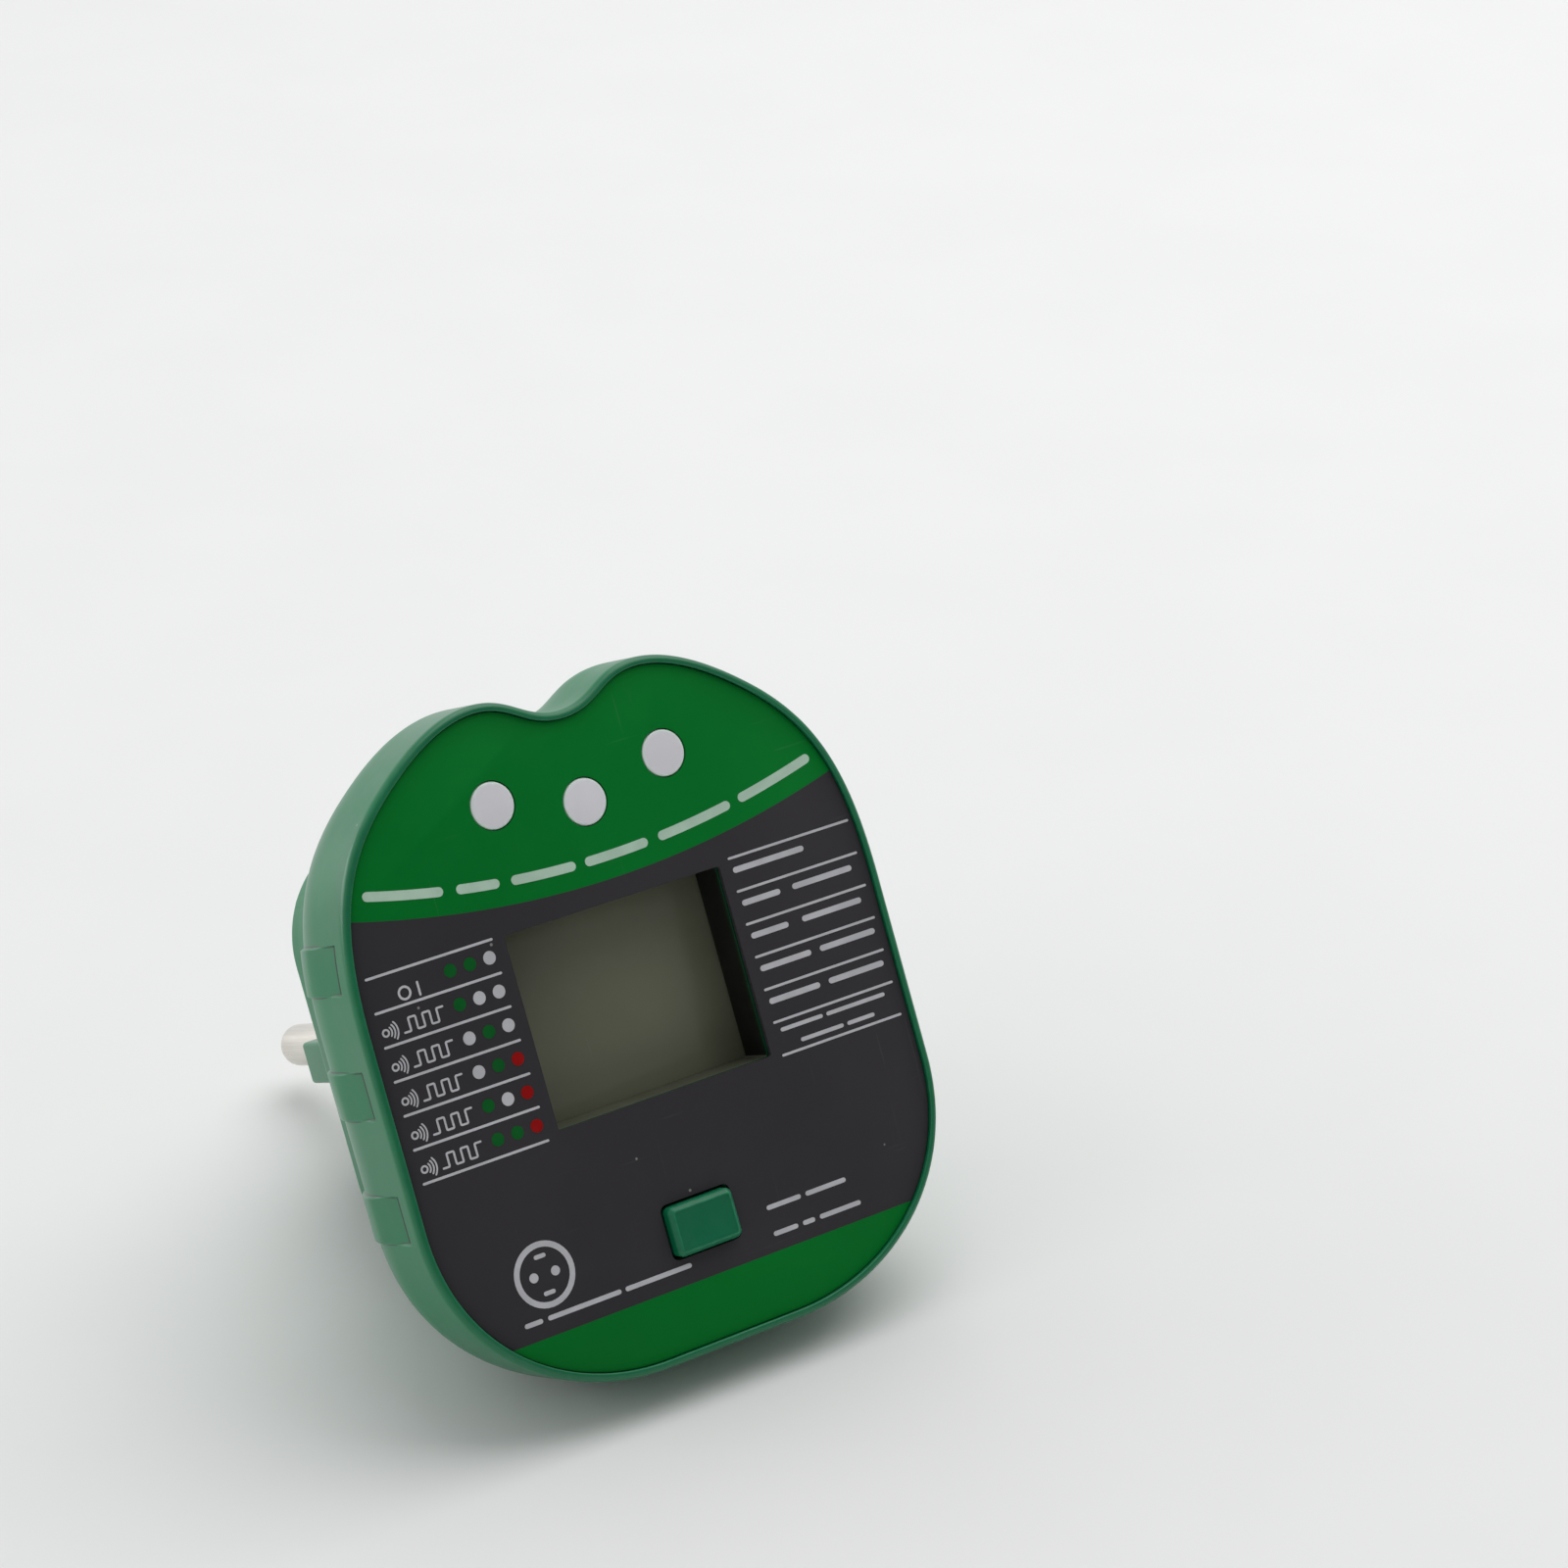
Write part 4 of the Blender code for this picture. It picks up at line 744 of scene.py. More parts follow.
def roundHoles(places, radius, low, high, sides=28):
    return [prism(circleRing(x, z, radius, sides), low, high) for x, z in places]


def roundPosts(places, radius, low, high, sides):
    return [turnedSolid([(radius, 0), (radius, high - low)], x, z, low, 1, sides) for x, z in places]


def quarterTurn(steps=9):  # even angles from 0 to 90 degrees
    return np.radians(np.linspace(0, 90, steps))


frontShape = {
    "recess": 0.9, "floorY": -51.2, "ledgeY": -51.6, "panelBackY": -49.2, "rimWidth": 0.62, "rimDrop": 0.85,
    "rimInside": 0.16, "seamRound": 0.3, "wallRows": 30, "screwPost": 3.0, "boardPost": 2.3, "lampHole": 2.65,
    "screwHole": 1.25, "boardHole": 1.0, "intoPanel": 0.8,
    "inside": ((6.2, 0.0), (6.2, 0.6), (4.5, 2.0), (3.1, 5.0), (2.4, 8.9)),  # inset, distance from the seam
    "aboveGrip": (1.2, 1.7, 2.1), "pastGrip": 3.2,  # depths of the wall's rows round the grip's step
    "roundGrip": (-0.12, -0.04, 0.0, 0.04, 0.08, 0.12, 0.18, 0.3),
}


def makeFrontShell():
    # one closed cup: floor of the label recess, rim, outer wall, seam, inner wall, back of the panel
    # rounded corners are quarter circles, r (1 - cos a) and r (1 - sin a)
    s = frontShape
    recess, lipRound, panelBack = s["recess"], s["rimInside"], s["panelBackY"]
    quarter = quarterTurn()
    floor = [(recess, s["floorY"]), (recess, s["ledgeY"]), (recess, rimY + lipRound)]
    lip = [(recess - lipRound * (1 - math.cos(a)), rimY + lipRound * (1 - math.sin(a))) for a in quarter[1:]]
    rim = [(s["rimWidth"] * (1 - math.sin(a)), rimY + s["rimDrop"] * (1 - math.cos(a))) for a in quarter]
    wallDepth, soft = caseShape["wallDepth"], s["seamRound"]
    depths = np.concatenate([s["aboveGrip"], caseShape["padStart"] + np.array(s["roundGrip"]),
                             np.linspace(s["pastGrip"], wallDepth - soft, s["wallRows"])])
    wall = [(wallInset(depth), rimY + depth) for depth in depths]
    last = wallInset(wallDepth)
    seam = [(last + soft * (1 - math.cos(a)), seamY - soft * (1 - math.sin(a))) for a in quarter[2::2]]
    inner = [(inset, seamY - before) for inset, before in s["inside"]] + [(s["inside"][-1][0], panelBack)]
    rows = np.array(floor + lip + rim + wall + seam + inner, float)
    onWall = np.zeros(len(rows), bool)
    onWall[len(floor + lip + rim):-len(inner)] = True
    rings = []
    for (inset, y), lifted in zip(rows, onWall):
        ring = caseRing(inset)
        if lifted:
            ring[:, 0] += np.sign(ring[:, 0]) * padShare(caseRing()) * padLift(y - rimY)
        rings.append(ring)
    mesh = meshOf([loftSolid(rings, rows[:, 1])])

    into = panelBack - s["intoPanel"]
    boardFront = nodeBox("main_board")[0][1]
    posts = roundPosts(caseScrews, s["screwPost"], into, seamY + gap, 40)
    posts += roundPosts(boardScrews, s["boardPost"], into, boardFront - gap, 36)
    w = window
    wellRing = roundedRing(0, w["z"], w["halfX"] + w["rib"], w["halfZ"] + w["rib"], w["corner"] + w["rib"])
    posts.append(prism(wellRing, into, w["lcdY"] - gap))
    mesh = carve(mesh, posts, "UNION")

    through, behind = rimY - 2.0, into + 2.0
    holes = [windowHole(through, w["lcdY"] + 1.0), buttonHole(through, behind)]
    holes += roundHoles(lampPlaces.values(), s["lampHole"], through, behind, 64)
    holes += roundHoles(caseScrews, s["screwHole"], seamY - 9.0, seamY + 2.0)
    holes += roundHoles(boardScrews, s["boardHole"], boardFront - 6.0, boardFront + 1.0, 24)
    mesh = carve(mesh, holes, "DIFFERENCE")
    placePiece("frontShell", mesh, "case", replaced=["front_case"], angle=38)


rearShape = {
    "halfX": 22.7, "halfZ": 24.0, "corner": 12.0,  # the platform round the plug
    "stations": (0.0, 1.6, 4.5, 8.5, 12.0),  # depths behind the seam, for the insets and the platform's shares
    "insets": (4.05, 5.0, 5.6, 6.0, 6.2), "shares": (0.0, 0.03, 0.35, 0.78, 1.0), "edge": 1.1, "wall": 2.2,
    "lip": 6.5, "lipAhead": 2.0, "seamEdge": ((4.45, 0.02), (4.2, 0.08), (4.08, 0.2)), "inner": 7.9,
    "post": 3.9, "screwHole": 1.5, "plugHole": ((13.5, 0), (13.5, 3.7), (13.9, 4.05), (13.9, 6.0)),
    "bore": ((2.6, 0), (2.6, 5.75), (2.85, 6.0), (2.85, 8.0)), "strapZ": 16.3, "strapHalf": 0.7,
    "soundX": 18.0, "soundZ": -7.4, "soundPitch": 2.1, "soundRadius": 0.75,
}


def platformRing(points, inset=0.0):
    # the platform's rounded rectangle, met in the direction of each outline point: the farthest of many steps
    # along that line that is still no more than the corner's radius from the inner rectangle
    p = rearShape
    halfX, halfZ, corner = p["halfX"] - inset, p["halfZ"] - inset, p["corner"] - inset
    angle = np.arctan2(points[:, 1], points[:, 0])[:, None]
    reach = np.linspace(0.5, 1.0, 3001)[None] * math.hypot(halfX, halfZ)
    overX = np.maximum(np.abs(np.cos(angle)) * reach - (halfX - corner), 0)
    overZ = np.maximum(np.abs(np.sin(angle)) * reach - (halfZ - corner), 0)
    far = reach[0][(np.hypot(overX, overZ) <= corner).sum(axis=1) - 1]
    return np.stack([far * np.cos(angle[:, 0]), far * np.sin(angle[:, 0])], axis=1)


def rearRing(inset, share, platformInset=0.0):
    # outline * (1 - share) + platform * share
    platform = platformRing(caseRing(0.0, evenStations), platformInset)
    return caseRing(inset, evenStations) * (1 - share) + platform * share


def makeRearShell():
    # the lip inside the front shell, then the outline easing into the flat platform round the plug
    s = rearShape
    start, lip, edge, wall = seamY + gap, s["lip"], s["edge"], s["wall"]
    depths = np.linspace(0.35, s["stations"][-1], 30)
    insets = smoothTrack(depths, s["stations"], s["insets"])
    shares = np.clip(smoothTrack(depths, s["stations"], s["shares"]), 0, 1)
    inner = s["inner"]
    rows = [(rearRing(0.0, 1.0, wall), backY - wall), (rearRing(0.0, 1.0, wall), start + 11.6),
            (rearRing(8.3, 0.75, wall), start + 8.0), (rearRing(inner, 0.0), start + 1.6),
            (rearRing(inner, 0.0), start - s["lipAhead"]), (rearRing(lip, 0.0), start - s["lipAhead"]),
            (rearRing(lip, 0.0), start + s["seamEdge"][0][1])]
    rows += [(rearRing(inset, 0.0), start + depth) for inset, depth in s["seamEdge"]]
    rows += [(rearRing(inset, share), start + depth) for inset, share, depth in zip(insets, shares, depths)]
    rows += [(rearRing(0.0, 1.0, edge * (1 - math.cos(a))), backY - edge * (1 - math.sin(a)))
             for a in quarterTurn()]
    mesh = meshOf([loftSolid([ring for ring, y in rows], [y for ring, y in rows])])

    beyond, inside = backY + 2.0, backY - 4.0
    mesh = carve(mesh, roundPosts(caseScrews, s["post"], start + 0.3, backY - 1.0, 44), "UNION")
    bores = [turnedSolid(s["bore"], x, z, backY - 6.0, 1, 48) for x, z in caseScrews]
    mesh = carve(mesh, bores, "DIFFERENCE")
    cuts = roundHoles(caseScrews, s["screwHole"], seamY - 3.0, backY - 5.0)
    cuts.append(turnedSolid(s["plugHole"], nodeBox("plug_body")[2][0], 0.0, inside, 1, 128))
    slotX = nodeBox("earth_bracket")[1][0] + gap
    cuts += [prism(roundedRing(0, side * s["strapZ"], slotX, s["strapHalf"], 0.3), inside, beyond)
             for side in (-1, 1)]
    mesh = carve(mesh, cuts, "DIFFERENCE")
    pitch = s["soundPitch"]
    steps = ((0, 0), (1, 0), (-1, 0), (0, 1), (0, -1))
    cross = [(s["soundX"] + a * pitch, s["soundZ"] + b * pitch) for a, b in steps]
    mesh = carve(mesh, roundHoles(cross, s["soundRadius"], inside, beyond), "DIFFERENCE")
    placePiece("rearShell", mesh, "case", replaced=["rear_case"], angle=34)


makeFrontShell()
makeRearShell()
print("case shells made")


labelShape = {"inset": 0.98, "edge": 0.08, "cutEdge": 0.03, "hole": 2.55}


def makeLabelFilm():
    # the outline carried from the back of the film to its front, with a small bevel on the edge
    s = labelShape
    insets = (0.0, 0.0, s["cutEdge"], s["edge"])
    depths = [labelHigh[1], labelY + s["edge"], labelY + s["cutEdge"], labelY]
    mesh = meshOf([loftSolid([caseRing(s["inset"] + more, evenStations) for more in insets], depths)])
    low, high = labelY - 1.0, labelHigh[1] + 1.0
    cuts = [windowHole(low, high), buttonHole(low, high)]
    cuts += roundHoles(lampPlaces.values(), s["hole"], low, high, 64)
    placePiece("labelFilm", carve(mesh, cuts, "DIFFERENCE"), "label", replaced=["face_label"])


inkFront, inkBack = labelY - 0.03, labelY + 0.02  # a print is 0.03 mm thick and reaches a little into the film
printed = {
    "line": 0.27,
    "rightLines": (14.1, 28.8, 11.7, 3.54), "leftLines": (-28.5, -14.25, 11.4, 3.52),
    "dotColumns": (-19.5, -17.25, -15.0), "dotFirst": 9.68, "dotPitch": 3.525, "dotRadius": 0.69,
    "dots": ("GGW", "GWW", "WGW", "WGR", "GWR", "GGR"),
    "ring": (-24.9, 9.0, 0.62, 0.24), "bar": (-23.3, 8.35, 9.65, 0.24),
    "sounder": (-28.0, 0.33, 0.2), "waves": (0.68, 1.02, 1.36), "waveLine": 0.17, "rowDrop": 0.28,
    "pulse": (-26.0, -25.3, -24.5, -23.7, -22.9, -22.1, -21.4), "pulseHalf": 0.68, "pulseLine": 0.22,
    "rowBars": (((14.2, 22.9),), ((14.2, 18.9), (20.4, 27.8)), ((14.2, 18.8), (20.5, 27.9)),
                ((14.2, 20.5), (21.6, 28.5)), ((14.2, 20.5), (21.6, 28.5))),
    "rowBar": 0.62, "rowLift": 0.45, "smallBar": 0.42,
    "smallBars": ((-6.95, 14.8, 19.6), (-6.95, 20.5, 27.4), (-8.62, 16.8, 21.7), (-8.62, 22.6, 25.6)),
    "titleBars": ((-26.5, -17.9), (-16.5, -11.7), (-10.4, -3.0), (-1.9, 5.6), (6.9, 15.9), (17.0, 26.4)),
    "titleLine": 1.0, "titleMiddle": 15.85, "titleRise": 200.0,
    "socket": (-18.6, -22.4, 3.1, 0.62), "socketHoles": (1.25, 0.5), "socketClips": (1.9, 0.45),
    "footBars": ((-26.75, -22.0, -20.4), (-26.75, -19.3, -11.2), (-26.75, -10.2, -2.8), (-24.0, 7.7, 11.4),
                 (-24.0, 12.5, 17.0), (-26.8, 7.7, 10.2), (-26.8, 11.3, 12.3), (-26.8, 13.4, 18.0)),
    "footLine": 0.5,
}


def stroke(line, width, steps=6):
    # a flat pen stroke of one width along a 2D line, with half-round ends, as a closed outline
    line = np.asarray(line, float)
    along = np.gradient(line, axis=0)
    along /= np.linalg.norm(along, axis=1)[:, None]
    side = np.stack([-along[:, 1], along[:, 0]], axis=1) * width / 2
    turn = np.linspace(0, math.pi, steps + 2)[1:-1, None]
    endCap = line[-1] + np.cos(turn) * side[-1] + np.sin(turn) * along[-1] * width / 2
    startCap = line[0] - np.cos(turn) * side[0] - np.sin(turn) * along[0] * width / 2
    ring = np.vstack([line + side, endCap, (line - side)[::-1], startCap])
    return prism(ring, inkFront, inkBack)


def straight(x0, x1, z, width):  # a stroke along X
    return stroke(np.linspace((x0, z), (x1, z), 3), width)


def band(ringOut, ringIn):
    # a flat ring between two outlines with the same number of points
    rings = [(ringOut, inkBack), (ringOut, inkFront), (ringIn, inkFront), (ringIn, inkBack)]
    points = [np.stack([ring[:, 0], np.full(len(ring), y), ring[:, 1]], axis=1) for ring, y in rings]
    columns = len(ringOut)
    here = np.arange(columns)
    after = (here + 1) % columns
    closing = np.stack([3 * columns + here, 3 * columns + after, after, here], axis=1)
    return {"points": np.vstack(points), "quads": np.vstack([gridQuads(4, columns), closing]), "caps": []}


def ringMark(x, z, radius, width):
    return band(circleRing(x, z, radius + width / 2, 40), circleRing(x, z, radius - width / 2, 40))


def arcMark(x, z, radius, fromDegrees, toDegrees, width):
    angle = np.radians(np.linspace(fromDegrees, toDegrees, 14))
    return stroke(np.stack([x + radius * np.cos(angle), z + radius * np.sin(angle)], axis=1), width, 4)


def placePrint(name, marks, ink="inkWhite"):
    placePiece(name, meshOf(marks), ink)


def makeRules():
    marks = []
    for first, last, top, pitch in (printed["rightLines"], printed["leftLines"]):
        marks += [straight(first, last, top - k * pitch, printed["line"]) for k in range(7)]
    placePrint("printedRules", marks)


def makeIndicatorDots():
    p = printed
    made = {"G": [], "W": [], "R": []}
    for row, colours in enumerate(p["dots"]):
        z = p["dotFirst"] - row * p["dotPitch"]
        for x, colour in zip(p["dotColumns"], colours):
            made[colour] += roundHoles([(x, z)], p["dotRadius"], inkFront, inkBack, 36)
    placePrint("printedDotsGreen", made["G"], "inkGreen")
    placePrint("printedDotsWhite", made["W"])
    placePrint("printedDotsRed", made["R"], "inkRed")


def makeRowIcons():
    # the first row has a ring and a bar, the others a small sounder with three waves and a pulse train
    p = printed
    barX, barLow, barHigh, barWidth = p["bar"]
    marks = [ringMark(*p["ring"]), stroke(np.linspace((barX, barLow), (barX, barHigh), 3), barWidth)]
    sounderX, sounderRadius, sounderLine = p["sounder"]
    turns = [(x, 1 if k % 2 else -1) for k, x in enumerate(p["pulse"])]  # each upright, and 1 where it rises
    corners = [(x, end * rise * p["pulseHalf"]) for x, rise in turns for end in (-1, 1)]
    for row in range(1, 6):
        z = p["dotFirst"] - row * p["dotPitch"] - p["rowDrop"]
        marks.append(ringMark(sounderX, z - 0.12, sounderRadius, sounderLine))
        marks += [arcMark(sounderX, z - 0.12, radius, -40, 40, p["waveLine"]) for radius in p["waves"]]
        train = [(x, z + dz) for x, dz in corners[1:-1]]
        marks.append(stroke(softCorners(train, 0.12, 3), p["pulseLine"]))
    placePrint("printedRowIcons", marks)


def makeRowBars():
    # plain bars where each row's meaning is printed, one or two to a row
    p = printed
    top, pitch = p["rightLines"][2:]
    end = p["rowBar"] / 2
    marks = []
    for k, bars in enumerate(p["rowBars"]):
        z = top - (k + 0.5) * pitch + p["rowLift"]
        marks += [straight(x0 + end, x1 - end, z, p["rowBar"]) for x0, x1 in bars]
    marks += [straight(x0, x1, z, p["smallBar"]) for z, x0, x1 in p["smallBars"]]
    placePrint("printedRowBars", marks)


def makeTitleBars():
    # six bars along the arc that the title follows: z = middle + x * x / rise
    p = printed
    marks, end = [], p["titleLine"] / 2
    for x0, x1 in p["titleBars"]:
        x = np.linspace(x0 + end, x1 - end, 16)
        arc = np.stack([x, p["titleMiddle"] + x**2 / p["titleRise"]], axis=1)
        marks.append(stroke(arc, p["titleLine"], 8))
    placePrint("printedTitleBars", marks, "inkTitle")


def makeFootMarks():
    # a socket pictogram with two holes and two clips, and rows of small bars below it and beside the button
    p = printed
    x, z, radius, line = p["socket"]
    holeOut, holeRadius = p["socketHoles"]
    clipOut, clipHalf = p["socketClips"]
    marks = [ringMark(x, z, radius, line)]
    marks += roundHoles([(x - holeOut, z), (x + holeOut, z)], holeRadius, inkFront, inkBack, 32)
    marks += [straight(x - clipHalf, x + clipHalf, z + side * clipOut, clipHalf) for side in (-1, 1)]
    marks += [straight(x0, x1, barZ, p["footLine"]) for barZ, x0, x1 in p["footBars"]]
    placePrint("printedFootMarks", marks)


makeLabelFilm()
makeRules()
makeIndicatorDots()
makeRowIcons()
makeRowBars()
makeTitleBars()
makeFootMarks()
print("printed face made")


lamp = {
    "radius": 2.47, "dome": 0.10, "edge": 0.3, "flange": 3.6, "flangeThick": 0.9,
    "ledRadius": 1.5, "ledRim": 1.9, "ledRimThick": 1.0,
}


def makeLamps():
    # lens: height + dome * (1 - (r / radius)^2), a quarter-round edge, a straight side and a flange behind
    # the diode under it has a half-ball tip, (r sin a, r cos a)
    s = lamp
    radius, edge = s["radius"], s["edge"]
    quarter = quarterTurn(8)
    for side, (x, z) in lampPlaces.items():
        back = nodeBox("lamp_window_" + side)[1][1]
        height = back - labelY
        r = np.linspace(0, radius - edge, 12)
        face = np.stack([r, height + s["dome"] * (1 - (r / radius) ** 2)], axis=1)
        turn = np.stack([radius - edge * (1 - np.sin(quarter)),
                         face[-1, 1] - edge * (1 - np.cos(quarter))], axis=1)
        foot = [(radius, height - 1.0), (radius, s["flangeThick"]), (s["flange"], s["flangeThick"]),
                (s["flange"], 0.0), (0.0, 0.0)]
        profile = np.vstack([face, turn[1:], softCorners(foot, 0.12, 3)])
        lens = meshOf([turnedSolid(profile, x, z, back, -1, 72)])
        place = side.capitalize()
        placePiece("lampLens" + place, lens, "lens", replaced=["lamp_window_" + side])
        ledLow, ledHigh, _ = nodeBox("led_" + side)
        length, a = ledHigh[1] - ledLow[1], quarterTurn(14)
        ball, rim = s["ledRadius"], s["ledRim"]
        tip = np.stack([ball * np.sin(a), length - ball + ball * np.cos(a)], axis=1)
        rimThick = s["ledRimThick"]
        foot = [(ball, length - 2.0), (ball, rimThick), (rim, rimThick), (rim, 0.0), (0.0, 0.0)]
        led = meshOf([turnedSolid(np.vstack([tip, softCorners(foot, 0.08, 3)]), x, z, ledHigh[1], -1, 48)])
        placePiece("ledBody" + place, led, "epoxy", replaced=["led_" + side])


def makeDisplay():
    film, inset = 0.2, 0.5
    low, high = displayLow, displayHigh
    glass = softBlock((low[0], low[1] + film + 0.02, low[2]), high, 0.12, 0.08, 2)
    placePiece("displayGlass", meshOf([glass]), "glass", replaced=["lcd_glass"])
    sheet = softBlock((low[0] + inset, low[1], low[2] + inset),
                      (high[0] - inset, low[1] + film, high[2] - inset), 0.2, 0.04, 2)
    placePiece("displayPolariser", meshOf([sheet]), "film")


capRows = (  # inset from the cap's outline, and drop below its highest line, from the middle outwards
    (2.2, 0.08), (1.5, 0.07), (0.9, 0.035), (0.62, 0.01), (0.55, 0.0), (0.47, 0.015), (0.4, 0.06), (0.16, 0.3),
    (0.08, 0.4), (0.02, 0.54), (0.0, 0.72), (0.0, button["straight"]),
)


def makeButton():
    # a rounded-rectangle cap: a face that dips slightly, a wide bevel, straight sides, a flange and a stem
    b = button
    x, z, halfX, halfZ, flangeY = b["x"], b["z"], b["halfX"], b["halfZ"], b["flangeY"]
    rings = [roundedRing(x, z, halfX - inset, halfZ - inset, max(b["corner"] - 0.8 * inset, 0.2), 7)
             for inset, drop in capRows]
    mesh = meshOf([loftSolid(rings, [b["front"] + drop for inset, drop in capRows])])
    out = b["flangeOut"]
    flange = softBlock((x - halfX - out, flangeY, z - halfZ - out),
                       (x + halfX + out, flangeY + b["flangeThick"], z + halfZ + out), 0.8, 0.12, 3)
    mesh = carve(mesh, [flange], "UNION")
    half = b["stemHalf"]
    stem = softBlock((x - half, flangeY + 0.4, z - half), (x + half, buttonHigh[1], z + half), 0.3, 0.1, 3)
    mesh = carve(mesh, [stem], "UNION")
    placePiece("testButtonCap", mesh, "button", "button", ["test_button"], 40)


makeLamps()
makeDisplay()
makeButton()
print("lamps, display and button made")


pinX = nodeBox("neutral_pin")[2][0]
plug = {
    "radius": 13.7, "neckRadius": 13.2, "neckLap": 2.0, "wingHalf": 2.33, "wingEnd": -3.5, "armHalf": 5.2,
    "armEnd": -2.0, "soft": (0.45, 0.4), "rounding": (0, 0.12, 0.7, 0), "pinHole": (2.7, 3.0), "pilot": 1.25,
}


def makePlug():
    # a turned disc with a wing on each side, an arm above and below and a neck behind it
    s = plug
    low, high, _ = nodeBox("plug_body")
    radius, neckRadius, start = s["radius"], s["neckRadius"], backY + gap
    thick, neckLong = high[1] - start, start + s["neckLap"] - low[1]
    disc = softCorners([(0, 0), (radius, 0), (radius, thick), (0, thick)], s["rounding"], 6)
    mesh = meshOf([turnedSolid(disc, 0, 0, start, 1, 160)])
    front = start + 0.05
    wing = softBlock((low[0], front, -s["wingHalf"]), (high[0], s["wingEnd"], s["wingHalf"]), *s["soft"])
    arm = softBlock((-s["armHalf"], front, low[2]), (s["armHalf"], s["armEnd"], high[2]), *s["soft"])
    neck = turnedSolid([(0, 0), (neckRadius, 0), (neckRadius, neckLong), (0, neckLong)], 0, 0, low[1], 1, 128)
    for addition in (wing, arm, neck):
        mesh = carve(mesh, [addition], "UNION")
    hole, mouth = s["pinHole"]
    bore = [(0, 0), (hole, 0), (hole, 22.9), (mouth, 23.3), (mouth, 25.5), (0, 25.5)]
    cuts = [turnedSolid(bore, side * pinX, 0, low[1] - 0.7, 1, 56) for side in (-1, 1)]
    cuts += roundHoles(plugScrews, s["pilot"], low[1] - 1.0, low[1] + 9.0)
    mesh = carve(mesh, cuts, "DIFFERENCE")
    placePiece("plugMoulding", mesh, "case", replaced=["plug_body"], angle=34)


pin = {"radius": 2.4, "dome": 1.9, "collarRadius": 3.6, "collar": (4.2, 5.4), "tailRadius": 1.5}


def makePins():
    # tip (radius sin a, length - dome + dome cos a), then the shank, a collar and a thinner tail
    s = pin
    radius, collar, tail = s["radius"], s["collarRadius"], s["tailRadius"]
    (collarBack, collarFront), a = s["collar"], quarterTurn(18)
    for name, title in (("live_pin", "livePin"), ("neutral_pin", "neutralPin")):
        low, high, middle = nodeBox(name)
        length = high[1] - low[1]
        tip = np.stack([radius * np.sin(a), length - s["dome"] + s["dome"] * np.cos(a)], axis=1)
        foot = [(radius, length - 4.0), (radius, collarFront), (collar, collarFront), (collar, collarBack),
                (tail, collarBack), (tail, 0.0), (0.0, 0.0)]
        profile = np.vstack([tip, softCorners(foot, 0.15, 3)])
        mesh = meshOf([turnedSolid(profile, middle[0], 0, low[1], 1, 64)])
        placePiece(title, mesh, "nickel", replaced=[name])


strap = {"halfThick": 0.4, "legZ": 16.3, "bow": 0.9, "bend": 1.2, "corner": 0.22}


def makeEarthStrap():
    # a rounded strip carried along the U-shaped path, square to it, its legs bowing outwards
    s = strap
    low, high, _ = nodeBox("earth_bracket")
    base, legZ, bow = low[1] + s["halfThick"], s["legZ"], s["bow"]
    leg = [(legZ, backY - 4.0), (legZ, backY + 1.0), (legZ + bow * 0.55, backY + 5.0),
           (legZ + bow, backY + 9.0), (legZ + bow * 0.7, backY + 13.0), (legZ, high[1] - 0.1)]
    right = smoothRoute(leg, 50)
    corner = softCorners([(0.0, base), (legZ, base), (legZ, backY - 4.2)], s["bend"], 8)
    half = np.vstack([corner[1:-1], right])
    path = np.vstack([half[::-1] * (-1, 1), half])
    along = np.gradient(path, axis=0)
    along /= np.linalg.norm(along, axis=1)[:, None]
    section = roundedRing(0, 0, high[0], s["halfThick"], s["corner"], 4)
    z = path[:, :1] - along[:, 1:] * section[None, :, 1]
    y = path[:, 1:] + along[:, :1] * section[None, :, 1]
    x = np.broadcast_to(section[None, :, 0], z.shape)
    mesh = meshOf([gridSolid(np.stack([x, y, z], axis=-1))])
    placePiece("earthStrap", mesh, "nickel", replaced=["earth_bracket"])


clamp = {"radius": 15.0, "hollow": 13.7, "floor": 1.6, "pinHole": 1.9, "screwHole": 1.5}


def makeRetainer():
    # a shallow turned cup with holes in its floor for the pins and the two screws
    s = clamp
    low, high, _ = nodeBox("plug_retainer")
    radius, hollow, tall = s["radius"], s["hollow"], high[1] - low[1]
    cup = softCorners([(0, 0), (radius, 0), (radius, tall), (0, tall)], [0, 0.2, 0.2, 0], 3)
    mesh = meshOf([turnedSolid(cup, 0, 0, low[1], 1, 96)])
    inside = turnedSolid([(0, 0), (hollow, 0), (hollow, 9.0), (0, 9.0)], 0, 0, low[1] + s["floor"], 1, 96)
    mesh = carve(mesh, [inside], "DIFFERENCE")
    below, above = low[1] - 1.0, low[1] + s["floor"] + 0.5
    cuts = roundHoles([(-pinX, 0), (pinX, 0)], s["pinHole"], below, above, 36)
    cuts += roundHoles(plugScrews, s["screwHole"], below, above, 32)
    mesh = carve(mesh, cuts, "DIFFERENCE")
    placePiece("plugClamp", mesh, "holder", replaced=["plug_retainer"])


screw = {"head": 1.5, "pitch": 0.8, "threadDepth": 0.22, "cross": (0.62, 0.15), "crossDepth": 1.0}


